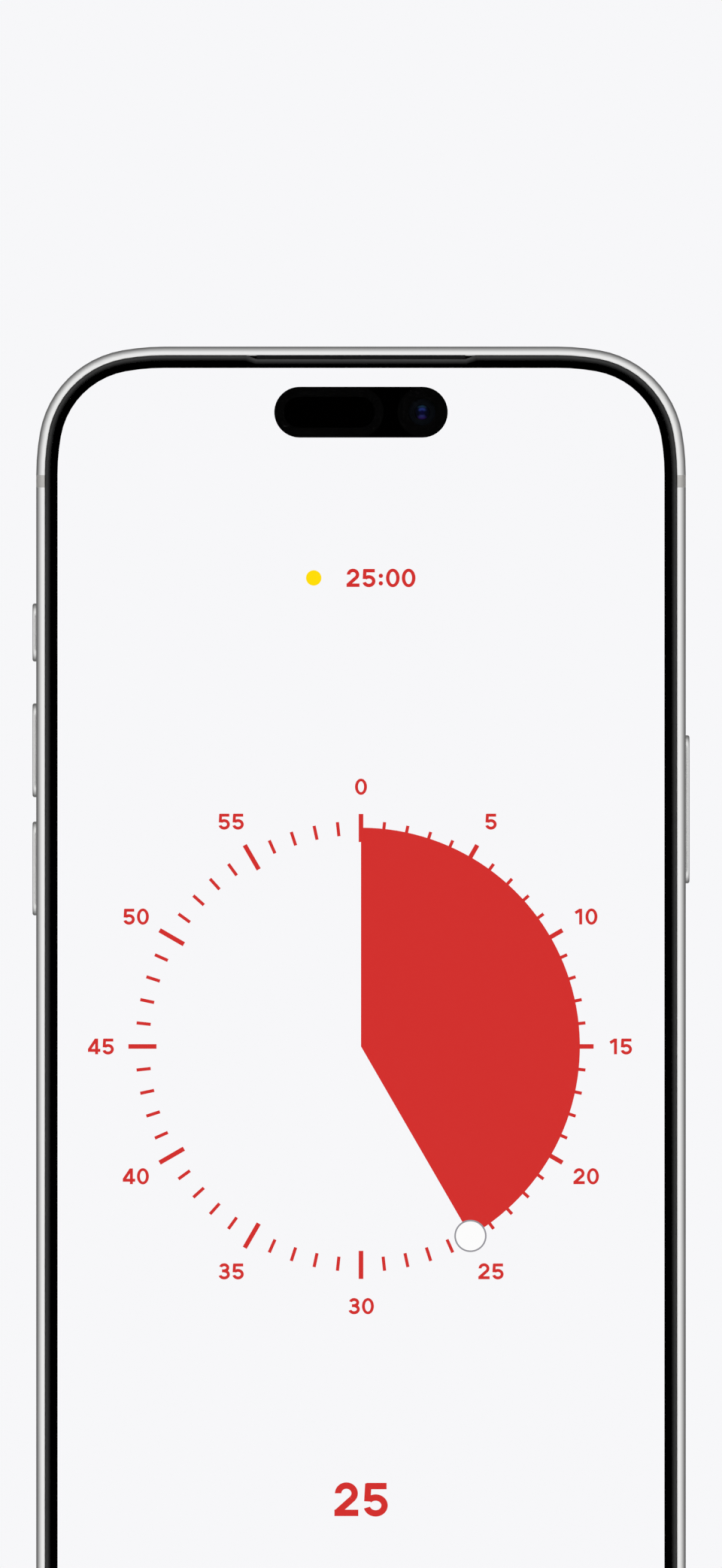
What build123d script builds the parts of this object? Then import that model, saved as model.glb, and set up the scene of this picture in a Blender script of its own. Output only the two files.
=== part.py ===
from build123d import *
from math import cos, radians, sin
import os

# A slab-shaped pocket handset that serves as a visual countdown timer: its lit screen shows a
# sixty-minute dial with the minutes left as a filled sector. The handset stands on its bottom edge.
# +X is to the right as the user sees the screen, -Y is towards the user, +Z is up. The origin is
# the middle of the bottom edge. All sizes are in millimetres.

# --- Body -------------------------------------------------------------------------------------
WIDTH = 77.6
HEIGHT = 163.0
THICKNESS = 8.25
LEAD_RADIUS = 28.9  # gentle arc that leads into each corner
LEAD_ANGLE = 10.1  # degrees turned by each lead arc
CORNER_RADIUS = 12.1  # tight arc in the middle of each corner
EDGE_RADIUS = 1.1  # rounding of the band's front and rear edges
RIM = 1.0  # metal lip seen around each glass
WALL = 2.1  # band wall
BREAK_FROM_END = 16.1  # centre of each antenna break, from the top or bottom edge
BREAK_WIDTH = 1.48

# --- Layers, front to rear --------------------------------------------------------------------
GLASS = 0.8  # cover glass
GLASS_EDGE_RADIUS = 0.7  # rounding of the cover glass's front edge
GLASS_GAP = 0.05  # adhesive gap around each glass
INK = 0.02  # printed black border behind the cover glass
SEAL = 0.075  # adhesive gasket under the cover glass
SEAL_WIDTH = 0.75
PICTURE = 0.03  # one layer of lit picture
PICTURE_GAP = 0.01
PANEL = 0.5
PANEL_INSET = 2.25
SHIELD = 0.15
LIT_INSET = 2.55  # edge of the lit area, from the outside of the band
CHASSIS = 0.35
COIL = 0.3
FERRITE = 0.15
REAR_GLASS = 0.75
LAYER_GAP = 0.02  # bonded layers

# --- Sensor pill and front camera ---------------------------------------------------------------
PILL_WIDTH = 20.73
PILL_HEIGHT = 6.07
PILL_DROP = 7.84  # pill centre below the top edge
FRONT_CAMERA_X = 7.3
FRONT_CAMERA_WINDOW = 1.65  # radius of the clear hole in the ink
FRONT_CAMERA_RADIUS = 2.1
FRONT_CAMERA_LENS_RADIUS = 1.6
FRONT_CAMERA_DEPTH = 3.0  # behind the display shield
FRONT_CAMERA_FLOOR = 0.6
FRONT_LENS_STEP = 0.35
FRONT_LENS_APERTURE = 0.9
FACE_SENSOR_X = -4.6
FACE_SENSOR_WIDTH = 10.4
FACE_SENSOR_HEIGHT = 4.4
FACE_SENSOR_DEPTH = 2.2  # behind the display shield
SENSOR_CLEARANCE = 0.15

# --- Earpiece slot --------------------------------------------------------------------------------
SLOT_WIDTH = 27.4
SLOT_SLOPE = 1.2  # sloped run at each end of the slot
SLOT_DEPTH = 0.42

# --- Timer picture --------------------------------------------------------------------------------
DIAL_DROP = 83.65  # dial centre below the top edge
MINUTES = 60
MINUTES_LEFT = 25
MAJOR_STEP = 5
SECTOR_RADIUS = 26.15
MAJOR_INNER = 24.43
MAJOR_OUTER = 27.79
MAJOR_WIDTH = 0.55
MINOR_INNER = 25.26
MINOR_OUTER = 26.96
MINOR_WIDTH = 0.385
NUMERAL_RADIUS = 31.04
NUMERAL_HEIGHT = 1.88
NUMERAL_WEIGHT = 0.19  # stroke as a share of the numeral height
NUMERAL_ADVANCE = 0.88  # room that one numeral takes, in numeral heights
NARROW_ADVANCE = {"1": 0.69, ":": 0.45}
HANDLE_RADIUS = 1.93
HANDLE_LINE = 0.19
READOUT_DROP = 137.8  # centre of the large readout below the top edge
READOUT_HEIGHT = 3.97
READOUT_WEIGHT = 0.193
LABEL_DROP = 27.65
LABEL_HEIGHT = 2.15
LABEL_X = 2.37
DOT_RADIUS = 0.92
DOT_X = -5.65

# --- Buttons --------------------------------------------------------------------------------------
BUTTON_PROUD = 0.44
BUTTON_SUNK = 0.95
BUTTON_WIDTH = 2.9
BUTTON_TRAVEL = 0.25
BUTTON_GAP = 0.08
BUTTON_ROUND = 0.25
POST_RADIUS = 0.6
POST_GAP = 0.05
CLIP = 0.3
CLIP_GAP = 0.05
NUB = 0.4
NUB_RADIUS = 0.7
DOME = 0.3
DOME_RADIUS = 1.2
DOME_TAPER = 60
DOME_GAP = 0.3  # free travel before the nub reaches the dome
SWITCH = 0.8
SWITCH_LENGTH = 4.4
SWITCH_CORNER = 0.15
BRACKET = 0.3
# name: (side, centre below the top edge, length)
BUTTONS = {
    "action": ("left", 34.17, 6.94),
    "volume_up": ("left", 48.25, 11.22),
    "volume_down": ("left", 62.38, 11.22),
    "side": ("right", 55.3, 17.7),
}

# --- Card tray ------------------------------------------------------------------------------------
TRAY_BELOW_BUTTON = 4.4  # band between the volume-down button and the tray
TRAY_LENGTH = 16.4
TRAY_FACE_HEIGHT = 2.3
TRAY_THICKNESS = 0.9
TRAY_DEPTH = 12.4  # from the outside of the band to the tray's inner end
TRAY_GAP = 0.08
TRAY_RAIL = 1.1
CARD_LENGTH = 12.3
CARD_WIDTH = 8.8
CARD_THICKNESS = 0.67
CARD_CUT = 1.6
PIN_HOLE_RADIUS = 0.5
READER_WALL = 0.2

# --- Rear cameras ---------------------------------------------------------------------------------
ISLAND = 34.0
ISLAND_CORNER = 9.0
ISLAND_MARGIN = 3.0  # from the band's outside to the island
ISLAND_RISE = 2.1
ISLAND_ROUND = 0.7
LENS_PITCH = 16.0
RING_RADIUS = 7.3
RING_BORE = 5.9
RING_RISE = 1.8
RING_NECK_RADIUS = 6.9
WINDOW = 0.5
WINDOW_RADIUS = 6.3
WINDOW_SUNK = 0.1
FIT_GAP = 0.05
MODULE = 13.0
MODULE_CORNER = 1.2
TURRET_RADIUS = 5.6
BARREL_RADIUS = 4.6
BARREL_GAP = 0.3
BARREL_LENGTH = 4.6
FOCUS_TRAVEL = 0.25
FUNNEL_STEPS = 3
FUNNEL_DEPTH = 0.9
FLASH_RADIUS = 2.6
FLASH_WINDOW = 1.0
FLASH_LIGHT = 2.8  # side of the light itself
FLASH_BOARD_RADIUS = 5.2
FLASH_BOARD = 0.6

# --- Bottom edge ----------------------------------------------------------------------------------
PORT_WIDTH = 8.94
PORT_HEIGHT = 3.16
PORT_SHELL = 0.3
PORT_DEPTH = 7.0
PORT_SUNK = 0.3
TONGUE_WIDTH = 6.69
TONGUE_THICKNESS = 0.7
TONGUE_LENGTH = 5.4
PORT_BLOCK = 2.5  # moulding behind the shell, up the handset
PORT_BLOCK_SIDE = 1.0  # moulding beyond the shell on each side
SCREW_X = 7.6
SCREW_HEAD_RADIUS = 0.95
SCREW_HEAD = 0.6
SCREW_RADIUS = 0.6
SCREW_LENGTH = 4.0
SCREW_DRIVE_RADIUS = 0.45
SOUND_HOLE_RADIUS = 0.75
SOUND_HOLE_START = 12.2
SOUND_HOLE_MARGIN = 1.7  # from the last speaker hole's centre to the corner's start
SPEAKER_HOLES = 5
MIC_HOLES = 4
MESH = 0.15

# --- Inside ---------------------------------------------------------------------------------------
ROOM = 0.3  # usual clearance between parts inside
BOARD = 0.8
BOARD_EDGE = 6.8  # from the middle of the handset to the board's right edge
BOARD_BELOW_TRAY = 12.0
BOARD_DROP = 15.0  # top of the board below the top edge
BOARD_STANDOFF = 0.7
CAN_HEIGHT = 2.3
CAN_WALL = 0.15
CHIP_HEIGHT = 1.1
CHIP_PITCH = 14.0
CAN_MARGIN = 1.5  # between a can and the card reader
BATTERY_THICKNESS = 4.2
BATTERY_ROUND = 0.8
BOTTOM_BAY = 21.0  # height of the bay that holds the speaker and the haptic motor
BOSS_RADIUS = 1.3
BOARD_SCREW_RADIUS = 0.5
BOARD_SCREW_HEAD_RADIUS = 1.0
BOARD_SCREW_HEAD = 0.35
COIL_OUTER = 21.5
COIL_INNER = 9.5
MAGNET_OUTER = 27.5
MAGNET_INNER = 23.5
MAGNETS = 18
MAGNET_FILL = 0.9  # share of the ring that the magnets fill
CONNECTOR_LENGTH = 7.0
CONNECTOR_WIDTH = 2.4
RIBBON = 0.15
RIBBON_LAP = 8.0  # length of the display ribbon bonded to the shield
PORT_RIBBON_WIDTH = 1.0
PORT_RIBBON_LAP = 3.0  # length of its tab under the board
CASE_WALL = 0.4
HAPTIC_MARGIN = 8.9  # from the band's outside to the haptic motor
HAPTIC_HEIGHT = 12.0
HAPTIC_STROKE = 0.5
SPRING_ROOM = 1.3
SPRING_STRIP = 0.15
SPEAKER_MARGIN = 12.0  # from the band's outside to the speaker
CONE = 0.2
CONE_TRAVEL = 0.3
CONE_GAP = 0.25
CONE_CORNER = 1.5
SPEAKER_WALL = 1.2
EARPIECE_WIDTH = 15.0
EARPIECE_HEIGHT = 10.5
EARPIECE_ROUND = 1.0

# --- Places that follow from the sizes above --------------------------------------------------------
LEAD = radians(LEAD_ANGLE)
CORNER_SPAN = LEAD_RADIUS * (sin(LEAD) + 1 - cos(LEAD)) + CORNER_RADIUS * (cos(LEAD) - sin(LEAD))
FLAT_X = WIDTH / 2 - CORNER_SPAN  # half the straight run of the top and bottom edges
FRONT = -THICKNESS / 2
REAR = THICKNESS / 2
INNER_X = WIDTH / 2 - WALL
GLASS_BACK = FRONT + GLASS
GLASS_SEAT = GLASS_BACK + INK + SEAL
PICTURE_TOP = GLASS_BACK + INK + 2 * PICTURE_GAP
PANEL_FRONT = PICTURE_TOP + 3 * (PICTURE + PICTURE_GAP)
PANEL_BACK = PANEL_FRONT + PANEL
SHIELD_BACK = PANEL_BACK + LAYER_GAP + SHIELD
REAR_SEAT = REAR - REAR_GLASS - SEAL
COIL_BACK = REAR - REAR_GLASS - LAYER_GAP
CHASSIS_BACK = COIL_BACK - COIL - FERRITE - 2 * LAYER_GAP
CHASSIS_FRONT = CHASSIS_BACK - CHASSIS
BAY_FRONT = SHIELD_BACK + ROOM
BAY_REAR = CHASSIS_FRONT - LAYER_GAP
BOARD_BACK = CHASSIS_FRONT - BOARD_STANDOFF
BOARD_FRONT = BOARD_BACK - BOARD
DIAL_Z = HEIGHT - DIAL_DROP
PILL_Z = HEIGHT - PILL_DROP
NUB_END = INNER_X - CLIP_GAP - CLIP - NUB
SWITCH_FACE = NUB_END - DOME_GAP - DOME
BRACKET_INNER = SWITCH_FACE - SWITCH - BRACKET
BAY_X = BRACKET_INNER - ROOM
VOLUME_DOWN_END = HEIGHT - BUTTONS["volume_down"][1] - BUTTONS["volume_down"][2] / 2
TRAY_Z = VOLUME_DOWN_END - TRAY_BELOW_BUTTON - TRAY_LENGTH / 2
BOARD_LEFT = -BAY_X
BOARD_RIGHT = -BOARD_EDGE
BOARD_TOP = HEIGHT - BOARD_DROP
BOARD_BOTTOM = TRAY_Z - TRAY_LENGTH / 2 - BOARD_BELOW_TRAY
SOUND_HOLE_PITCH = (FLAT_X - SOUND_HOLE_MARGIN - SOUND_HOLE_START) / (SPEAKER_HOLES - 1)
ISLAND_X = WIDTH / 2 - ISLAND_MARGIN - ISLAND / 2
ISLAND_Z = HEIGHT - ISLAND_MARGIN - ISLAND / 2
ISLAND_TOP = REAR + ISLAND_RISE
RING_TOP = ISLAND_TOP + RING_RISE
LENSES = {
    "main": (ISLAND_X + LENS_PITCH / 2, ISLAND_Z + LENS_PITCH / 2),
    "wide": (ISLAND_X + LENS_PITCH / 2, ISLAND_Z - LENS_PITCH / 2),
    "tele": (ISLAND_X - LENS_PITCH / 2, ISLAND_Z - LENS_PITCH / 2),
}
APERTURES = {"main": 2.6, "wide": 2.0, "tele": 1.6}
FLASH = (ISLAND_X - LENS_PITCH / 2, ISLAND_Z + LENS_PITCH / 2)
BATTERY_LEFT = BOARD_RIGHT + PORT_RIBBON_WIDTH + 3 * ROOM
BATTERY_TOP = ISLAND_Z - LENS_PITCH / 2 - MODULE / 2 - 3 * ROOM
BATTERY_BOTTOM = BOTTOM_BAY + WALL + ROOM
BATTERY_BACK = BAY_REAR - ROOM
BARREL_FRONT_Y = RING_TOP - WINDOW_SUNK - WINDOW - FOCUS_TRAVEL - 2 * ROOM


# --- Drawing helpers ----------------------------------------------------------------------------
def face_plane(y):
    """Plane at depth y that faces the user: local x is +X and local y is +Z."""
    return Plane(origin=(0, y, 0), x_dir=(1, 0, 0), z_dir=(0, -1, 0))


def outward(side):
    """Sign of x on one side of the handset, left or right as the user sees it."""
    return 1 if side == "right" else -1


def side_plane(side, x):
    """Plane at distance x out on one side, facing outwards: local y is +Z."""
    out = outward(side)
    return Plane(origin=(out * x, 0, 0), x_dir=(0, out, 0), z_dir=(out, 0, 0))


def bottom_plane(z):
    """Plane at height z that faces down: local x is +X."""
    return Plane(origin=(0, 0, z), x_dir=(1, 0, 0), z_dir=(0, 0, -1))


def body_outline(inset, mode=Mode.ADD):
    """Face of the handset's outline, moved in by inset, with the same arc centres at any inset."""
    top = HEIGHT - inset
    with BuildLine() as outline:
        ahead = Line((0, top), (FLAT_X, top))
        first = JernArc(ahead @ 1, (1, 0), LEAD_RADIUS - inset, -LEAD_ANGLE)
        tight = JernArc(first @ 1, first % 1, CORNER_RADIUS - inset, 2 * LEAD_ANGLE - 90)
        last = JernArc(tight @ 1, tight % 1, LEAD_RADIUS - inset, -LEAD_ANGLE)
        Line(last @ 1, (WIDTH / 2 - inset, HEIGHT / 2))
        mirror(about=Plane.YZ)
        mirror(about=Plane.XZ.offset(-HEIGHT / 2))
    make_face(outline.edges(), mode=mode)


def ring_outline(outer_inset, inner_inset):
    """Face between two insets of the handset's outline."""
    body_outline(outer_inset)
    body_outline(inner_inset, mode=Mode.SUBTRACT)


def island_outline(margin, mode=Mode.ADD):
    """Rounded square of the camera island, grown by a margin."""
    side = ISLAND + 2 * margin
    with Locations((ISLAND_X, ISLAND_Z)):
        RectangleRounded(side, side, ISLAND_CORNER + margin, mode=mode)


def block(x, y, z, mode=Mode.ADD):
    """Block that spans three (low, high) pairs."""
    with Locations(((x[0] + x[1]) / 2, (y[0] + y[1]) / 2, (z[0] + z[1]) / 2)):
        Box(x[1] - x[0], y[1] - y[0], z[1] - z[0], mode=mode)


def keep(piece, name):
    """Labels a finished piece and writes its STEP file."""
    piece.part.label = name
    export_step(piece.part, f"parts/{name}.step")


def stroke_numeral(character, height, weight):
    """One numeral drawn with strokes, centred on x and standing on y = 0."""
    line = height * weight

    def at(x, y):
        return (x * height, y * height)

    def bowl(centre, across, up, start, turned):
        spread, rise = across * height - line / 2, up * height - line / 2
        return EllipticalCenterArc(at(0, centre), spread, rise, start, arc_size=turned)

    with BuildSketch(Plane.XY) as numeral:
        if character == "0":
            with Locations(at(0, 0.5)):
                Ellipse(0.38 * height, 0.515 * height)
                Ellipse(0.38 * height - line, 0.515 * height - 0.9 * line, mode=Mode.SUBTRACT)
        elif character == ":":
            with Locations(at(0, 0.2), at(0, 0.62)):
                Circle(0.62 * line)
        else:
            with BuildLine(mode=Mode.PRIVATE) as strokes:
                if character == "1":
                    Line(at(0.1, 0), at(0.1, 1))
                    Line(at(0.08, 0.93), at(-0.24, 0.73))
                elif character == "2":
                    bow = bowl(0.685, 0.345, 0.33, -48, 228)
                    Line(bow @ 0, at(-0.3, weight / 2))
                    Line(at(-0.36, weight / 2), at(0.36, weight / 2))
                elif character == "3":
                    bowl(0.73, 0.325, 0.285, -90, 255)
                    bowl(0.3, 0.365, 0.315, -165, 255)
                    Line(at(-0.14, 0.53), at(0, 0.53))
                elif character == "4":
                    Line(at(0.15, 0), at(0.15, 1))
                    Line(at(0.12, 0.95), at(-0.33, 0.28))
                    Line(at(-0.4, 0.25), at(0.39, 0.25))
                elif character == "5":
                    Line(at(-0.28, 1 - weight / 2), at(0.33, 1 - weight / 2))
                    Line(at(-0.22, 0.98), at(-0.25, 0.44))
                    bowl(0.32, 0.365, 0.335, -165, 305)
                elif character == "6":
                    CenterArc(at(0, 0.32), 0.335 * height - line / 2, 0, 360)
                    Line(at(-0.22, 0.42), at(0.09, 0.99))
                elif character == "7":
                    Line(at(-0.31, 1 - weight / 2), at(0.31, 1 - weight / 2))
                    Line(at(0.25, 0.93), at(-0.11, 0))
                elif character == "8":
                    CenterArc(at(0, 0.74), 0.275 * height - line / 2, 0, 360)
                    CenterArc(at(0, 0.29), 0.305 * height - line / 2, 0, 360)
                elif character == "9":
                    CenterArc(at(0, 0.68), 0.335 * height - line / 2, 0, 360)
                    Line(at(0.22, 0.58), at(-0.09, 0.01))
            for stroke in strokes.edges():
                trace(stroke, line_width=line)
    return numeral.sketch


def number(text, height, weight, centre):
    """Draws a number, centred on a point of the sketch in use."""
    widths = [NARROW_ADVANCE.get(c, NUMERAL_ADVANCE) * height for c in text]
    x = centre[0] - sum(widths) / 2
    for character, width in zip(text, widths):
        with Locations((x + width / 2, centre[1] - height / 2)):
            add(stroke_numeral(character, height, weight))
        x += width


def button_slot(length, margin):
    """Long rounded outline of a side button, grown by a margin."""
    SlotOverall(length + 2 * margin, BUTTON_WIDTH + 2 * margin, rotation=90)


def post_places(length):
    """Heights of a button's two posts, from the button's centre."""
    reach = length / 2 - BUTTON_WIDTH / 2
    return (-reach, reach)


# --- Enclosure ----------------------------------------------------------------------------------
def make_band():
    """Metal band with its cavity, glass seats, button pockets, tray slot and bottom openings."""
    with BuildPart() as band:
        with BuildSketch(face_plane(REAR)):
            body_outline(0)
        extrude(amount=THICKNESS)
        fillet(band.faces().filter_by(Axis.Y).edges(), EDGE_RADIUS)
        with BuildSketch(face_plane(REAR)):
            body_outline(WALL)
        extrude(amount=THICKNESS, mode=Mode.SUBTRACT)
        with BuildSketch(face_plane(GLASS_SEAT)):
            body_outline(RIM)
        extrude(amount=GLASS_SEAT - FRONT, mode=Mode.SUBTRACT)
        with BuildSketch(face_plane(REAR)):
            body_outline(RIM)
        extrude(amount=REAR - REAR_SEAT, mode=Mode.SUBTRACT)
        for side, drop, length in BUTTONS.values():
            pocket = BUTTON_SUNK + BUTTON_TRAVEL + CLIP_GAP
            with BuildSketch(side_plane(side, WIDTH / 2)):
                with Locations((0, HEIGHT - drop)):
                    button_slot(length, BUTTON_GAP)
            extrude(amount=-pocket, mode=Mode.SUBTRACT)
            with BuildSketch(side_plane(side, WIDTH / 2)):
                for reach in post_places(length):
                    with Locations((0, HEIGHT - drop + reach)):
                        Circle(POST_RADIUS + POST_GAP)
            extrude(amount=-2 * WALL, mode=Mode.SUBTRACT)
        with BuildSketch(side_plane("left", WIDTH / 2)):
            with Locations((0, TRAY_Z)):
                SlotOverall(TRAY_LENGTH + 2 * TRAY_GAP, TRAY_FACE_HEIGHT + 2 * TRAY_GAP, rotation=90)
        extrude(amount=-WALL / 2, mode=Mode.SUBTRACT)
        half = TRAY_LENGTH / 2 - TRAY_RAIL + TRAY_GAP
        block(
            (-WIDTH / 2 + WALL / 4, -WIDTH / 2 + 2 * WALL),
            (-TRAY_THICKNESS / 2 - TRAY_GAP, TRAY_THICKNESS / 2 + TRAY_GAP),
            (TRAY_Z - half, TRAY_Z + half),
            mode=Mode.SUBTRACT,
        )
        with BuildSketch(bottom_plane(0)):
            SlotOverall(PORT_WIDTH + 2 * FIT_GAP, PORT_HEIGHT + 2 * FIT_GAP)
            with Locations(*sound_hole_places()):
                Circle(SOUND_HOLE_RADIUS)
        extrude(amount=-2 * WALL, mode=Mode.SUBTRACT)
        for side in (-1, 1):
            with Locations(bottom_plane(0)):
                with Locations((side * SCREW_X, 0)):
                    CounterBoreHole(
                        SCREW_RADIUS + FIT_GAP,
                        SCREW_HEAD_RADIUS + FIT_GAP,
                        SCREW_HEAD + FIT_GAP,
                        depth=2 * WALL,
                    )
    return band


def sound_hole_places():
    """Centres of the speaker and microphone holes along the bottom edge."""
    speaker = [(SOUND_HOLE_START + i * SOUND_HOLE_PITCH, 0) for i in range(SPEAKER_HOLES)]
    mic = [(-SOUND_HOLE_START - i * SOUND_HOLE_PITCH, 0) for i in range(MIC_HOLES)]
    return speaker + mic


def make_break_tool():
    """Four blocks that mark where the antenna breaks cut the band."""
    with BuildPart() as tool:
        for side in (-1, 1):
            for z in (BREAK_FROM_END, HEIGHT - BREAK_FROM_END):
                with Locations((side * (WIDTH / 2 - WALL / 2), 0, z)):
                    Box(3 * WALL, 2 * THICKNESS, BREAK_WIDTH)
    return tool


def cut_breaks(band, tool):
    """Metal band without its antenna breaks."""
    with BuildPart() as cut:
        add(band.part)
        add(tool.part, mode=Mode.SUBTRACT)
    return cut


def make_breaks(band, tool):
    """Moulded plastic that fills the antenna breaks, flush with the band."""
    with BuildPart() as breaks:
        add(band.part)
        add(tool.part, mode=Mode.INTERSECT)
    return breaks


def make_chassis():
    """Stiff inner plate with the camera opening and the bosses that carry the board."""
    with BuildPart() as chassis:
        with BuildSketch(face_plane(CHASSIS_BACK)):
            body_outline(WALL + FIT_GAP)
            island_outline(-FIT_GAP, mode=Mode.SUBTRACT)
        extrude(amount=CHASSIS)
        with BuildSketch(face_plane(CHASSIS_FRONT)):
            with Locations(*board_screw_places()):
                Circle(BOSS_RADIUS)
        extrude(amount=BOARD_STANDOFF)
        with BuildSketch(face_plane(CHASSIS_BACK)):
            with Locations(*board_screw_places()):
                Circle(BOARD_SCREW_RADIUS + LAYER_GAP)
        extrude(amount=CHASSIS + BOARD_STANDOFF, mode=Mode.SUBTRACT)
    return chassis


def board_screw_places():
    """Centres of the screws that hold the logic board."""
    edge = 2 * BOSS_RADIUS
    low = BOARD_BOTTOM + edge
    high = BOARD_TOP - edge
    left = BOARD_LEFT + edge
    right = BOARD_RIGHT - edge
    return [(left, low), (right, low), (left, high), (right, high)]


def make_rear_glass():
    """Rear glass with the opening for the camera island."""
    with BuildPart() as glass:
        with BuildSketch(face_plane(REAR)):
            body_outline(RIM + GLASS_GAP)
            island_outline(FIT_GAP, mode=Mode.SUBTRACT)
        extrude(amount=REAR_GLASS)
    return glass


# --- Display ------------------------------------------------------------------------------------
def make_cover_glass():
    """Cover glass with a rounded front edge and the shallow earpiece slot in its top edge."""
    top = HEIGHT - RIM - GLASS_GAP
    wide = SLOT_WIDTH / 2
    with BuildPart() as glass:
        with BuildSketch(face_plane(GLASS_BACK)):
            body_outline(RIM + GLASS_GAP)
            with BuildLine():
                Polyline(
                    (-wide, top),
                    (SLOT_SLOPE - wide, top - SLOT_DEPTH),
                    (wide - SLOT_SLOPE, top - SLOT_DEPTH),
                    (wide, top),
                    (wide, top + SLOT_DEPTH),
                    (-wide, top + SLOT_DEPTH),
                    close=True,
                )
            make_face(mode=Mode.SUBTRACT)
        extrude(amount=GLASS)
        fillet(glass.faces().sort_by(Axis.Y)[0].edges(), GLASS_EDGE_RADIUS)
    return glass


def make_ink():
    """Black border and sensor pill printed on the back of the cover glass."""
    with BuildPart() as ink:
        with BuildSketch(face_plane(GLASS_BACK + INK)):
            ring_outline(RIM + 2 * GLASS_GAP, LIT_INSET)
            with Locations((0, PILL_Z)):
                SlotOverall(PILL_WIDTH, PILL_HEIGHT)
            with Locations((FRONT_CAMERA_X, PILL_Z)):
                Circle(FRONT_CAMERA_WINDOW, mode=Mode.SUBTRACT)
        extrude(amount=INK)
    return ink


def make_seals():
    """Adhesive gaskets between each glass and its seat in the band."""
    with BuildPart() as seals:
        for seat in (GLASS_SEAT, REAR_SEAT + SEAL):
            with BuildSketch(face_plane(seat)):
                ring_outline(RIM + 3 * GLASS_GAP, RIM + 3 * GLASS_GAP + SEAL_WIDTH)
            extrude(amount=SEAL)
    return seals


def panel_sheet(back, thickness):
    """Sheet the size of the display panel, with its camera and sensor holes."""
    with BuildPart() as sheet:
        with BuildSketch(face_plane(back)):
            body_outline(PANEL_INSET)
            with Locations((FRONT_CAMERA_X, PILL_Z)):
                Circle(FRONT_CAMERA_RADIUS + SENSOR_CLEARANCE, mode=Mode.SUBTRACT)
            with Locations((FACE_SENSOR_X, PILL_Z)):
                SlotOverall(
                    FACE_SENSOR_WIDTH + 2 * SENSOR_CLEARANCE,
                    FACE_SENSOR_HEIGHT + 2 * SENSOR_CLEARANCE,
                    mode=Mode.SUBTRACT,
                )
        extrude(amount=thickness)
    return sheet


# --- Timer picture ------------------------------------------------------------------------------
def picture_plane(layer):
    """Rear plane of one of the picture's layers, counted from the cover glass."""
    return face_plane(PICTURE_TOP + layer * (PICTURE + PICTURE_GAP) + PICTURE)


def dial_point(minute, radius):
    """Point of the dial at a minute and a radius; minutes run clockwise from the top."""
    angle = radians(360 * minute / MINUTES)
    return (radius * sin(angle), DIAL_Z + radius * cos(angle))


def make_sector():
    """Filled sector that shows the minutes left."""
    with BuildPart() as sector:
        with BuildSketch(picture_plane(2)):
            sweep_angle = 360 * MINUTES_LEFT / MINUTES
            with BuildLine():
                rim = CenterArc((0, DIAL_Z), SECTOR_RADIUS, 90, -sweep_angle)
                Line((0, DIAL_Z), rim @ 0)
                Line(rim @ 1, (0, DIAL_Z))
            make_face()
        extrude(amount=PICTURE)
    return sector


def make_dial_marks():
    """Sixty minute marks, and a numeral at every fifth."""
    with BuildPart() as marks:
        with BuildSketch(picture_plane(1)):
            for minute in range(MINUTES):
                major = minute % MAJOR_STEP == 0
                inner = MAJOR_INNER if major else MINOR_INNER
                outer = MAJOR_OUTER if major else MINOR_OUTER
                width = MAJOR_WIDTH if major else MINOR_WIDTH
                with Locations(dial_point(minute, (inner + outer) / 2)):
                    Rectangle(width, outer - inner, rotation=-360 * minute / MINUTES)
                if major:
                    number(str(minute), NUMERAL_HEIGHT, NUMERAL_WEIGHT, dial_point(minute, NUMERAL_RADIUS))
        extrude(amount=PICTURE)
    return marks


def make_handle():
    """Round handle at the sector's moving edge."""
    with BuildPart() as handle:
        with BuildSketch(picture_plane(0)):
            with Locations(dial_point(MINUTES_LEFT, SECTOR_RADIUS)):
                Circle(HANDLE_RADIUS - HANDLE_LINE)
        extrude(amount=PICTURE)
    return handle


def make_handle_line():
    """Thin line around the handle."""
    with BuildPart() as line:
        with BuildSketch(picture_plane(0)):
            with Locations(dial_point(MINUTES_LEFT, SECTOR_RADIUS)):
                Circle(HANDLE_RADIUS)
                Circle(HANDLE_RADIUS - HANDLE_LINE, mode=Mode.SUBTRACT)
        extrude(amount=PICTURE)
    return line


def make_readout():
    """Large readout of the minutes left, below the dial, and the small clock label above it."""
    with BuildPart() as readout:
        with BuildSketch(picture_plane(0)):
            number(f"{MINUTES_LEFT:.0f}", READOUT_HEIGHT, READOUT_WEIGHT, (0, HEIGHT - READOUT_DROP))
            number(f"{MINUTES_LEFT:.0f}:00", LABEL_HEIGHT, READOUT_WEIGHT, (LABEL_X, HEIGHT - LABEL_DROP))
        extrude(amount=PICTURE)
    return readout


def make_dot():
    """Round mark beside the label."""
    with BuildPart() as dot:
        with BuildSketch(picture_plane(0)):
            with Locations((DOT_X, HEIGHT - LABEL_DROP)):
                Circle(DOT_RADIUS)
        extrude(amount=PICTURE)
    return dot


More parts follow.
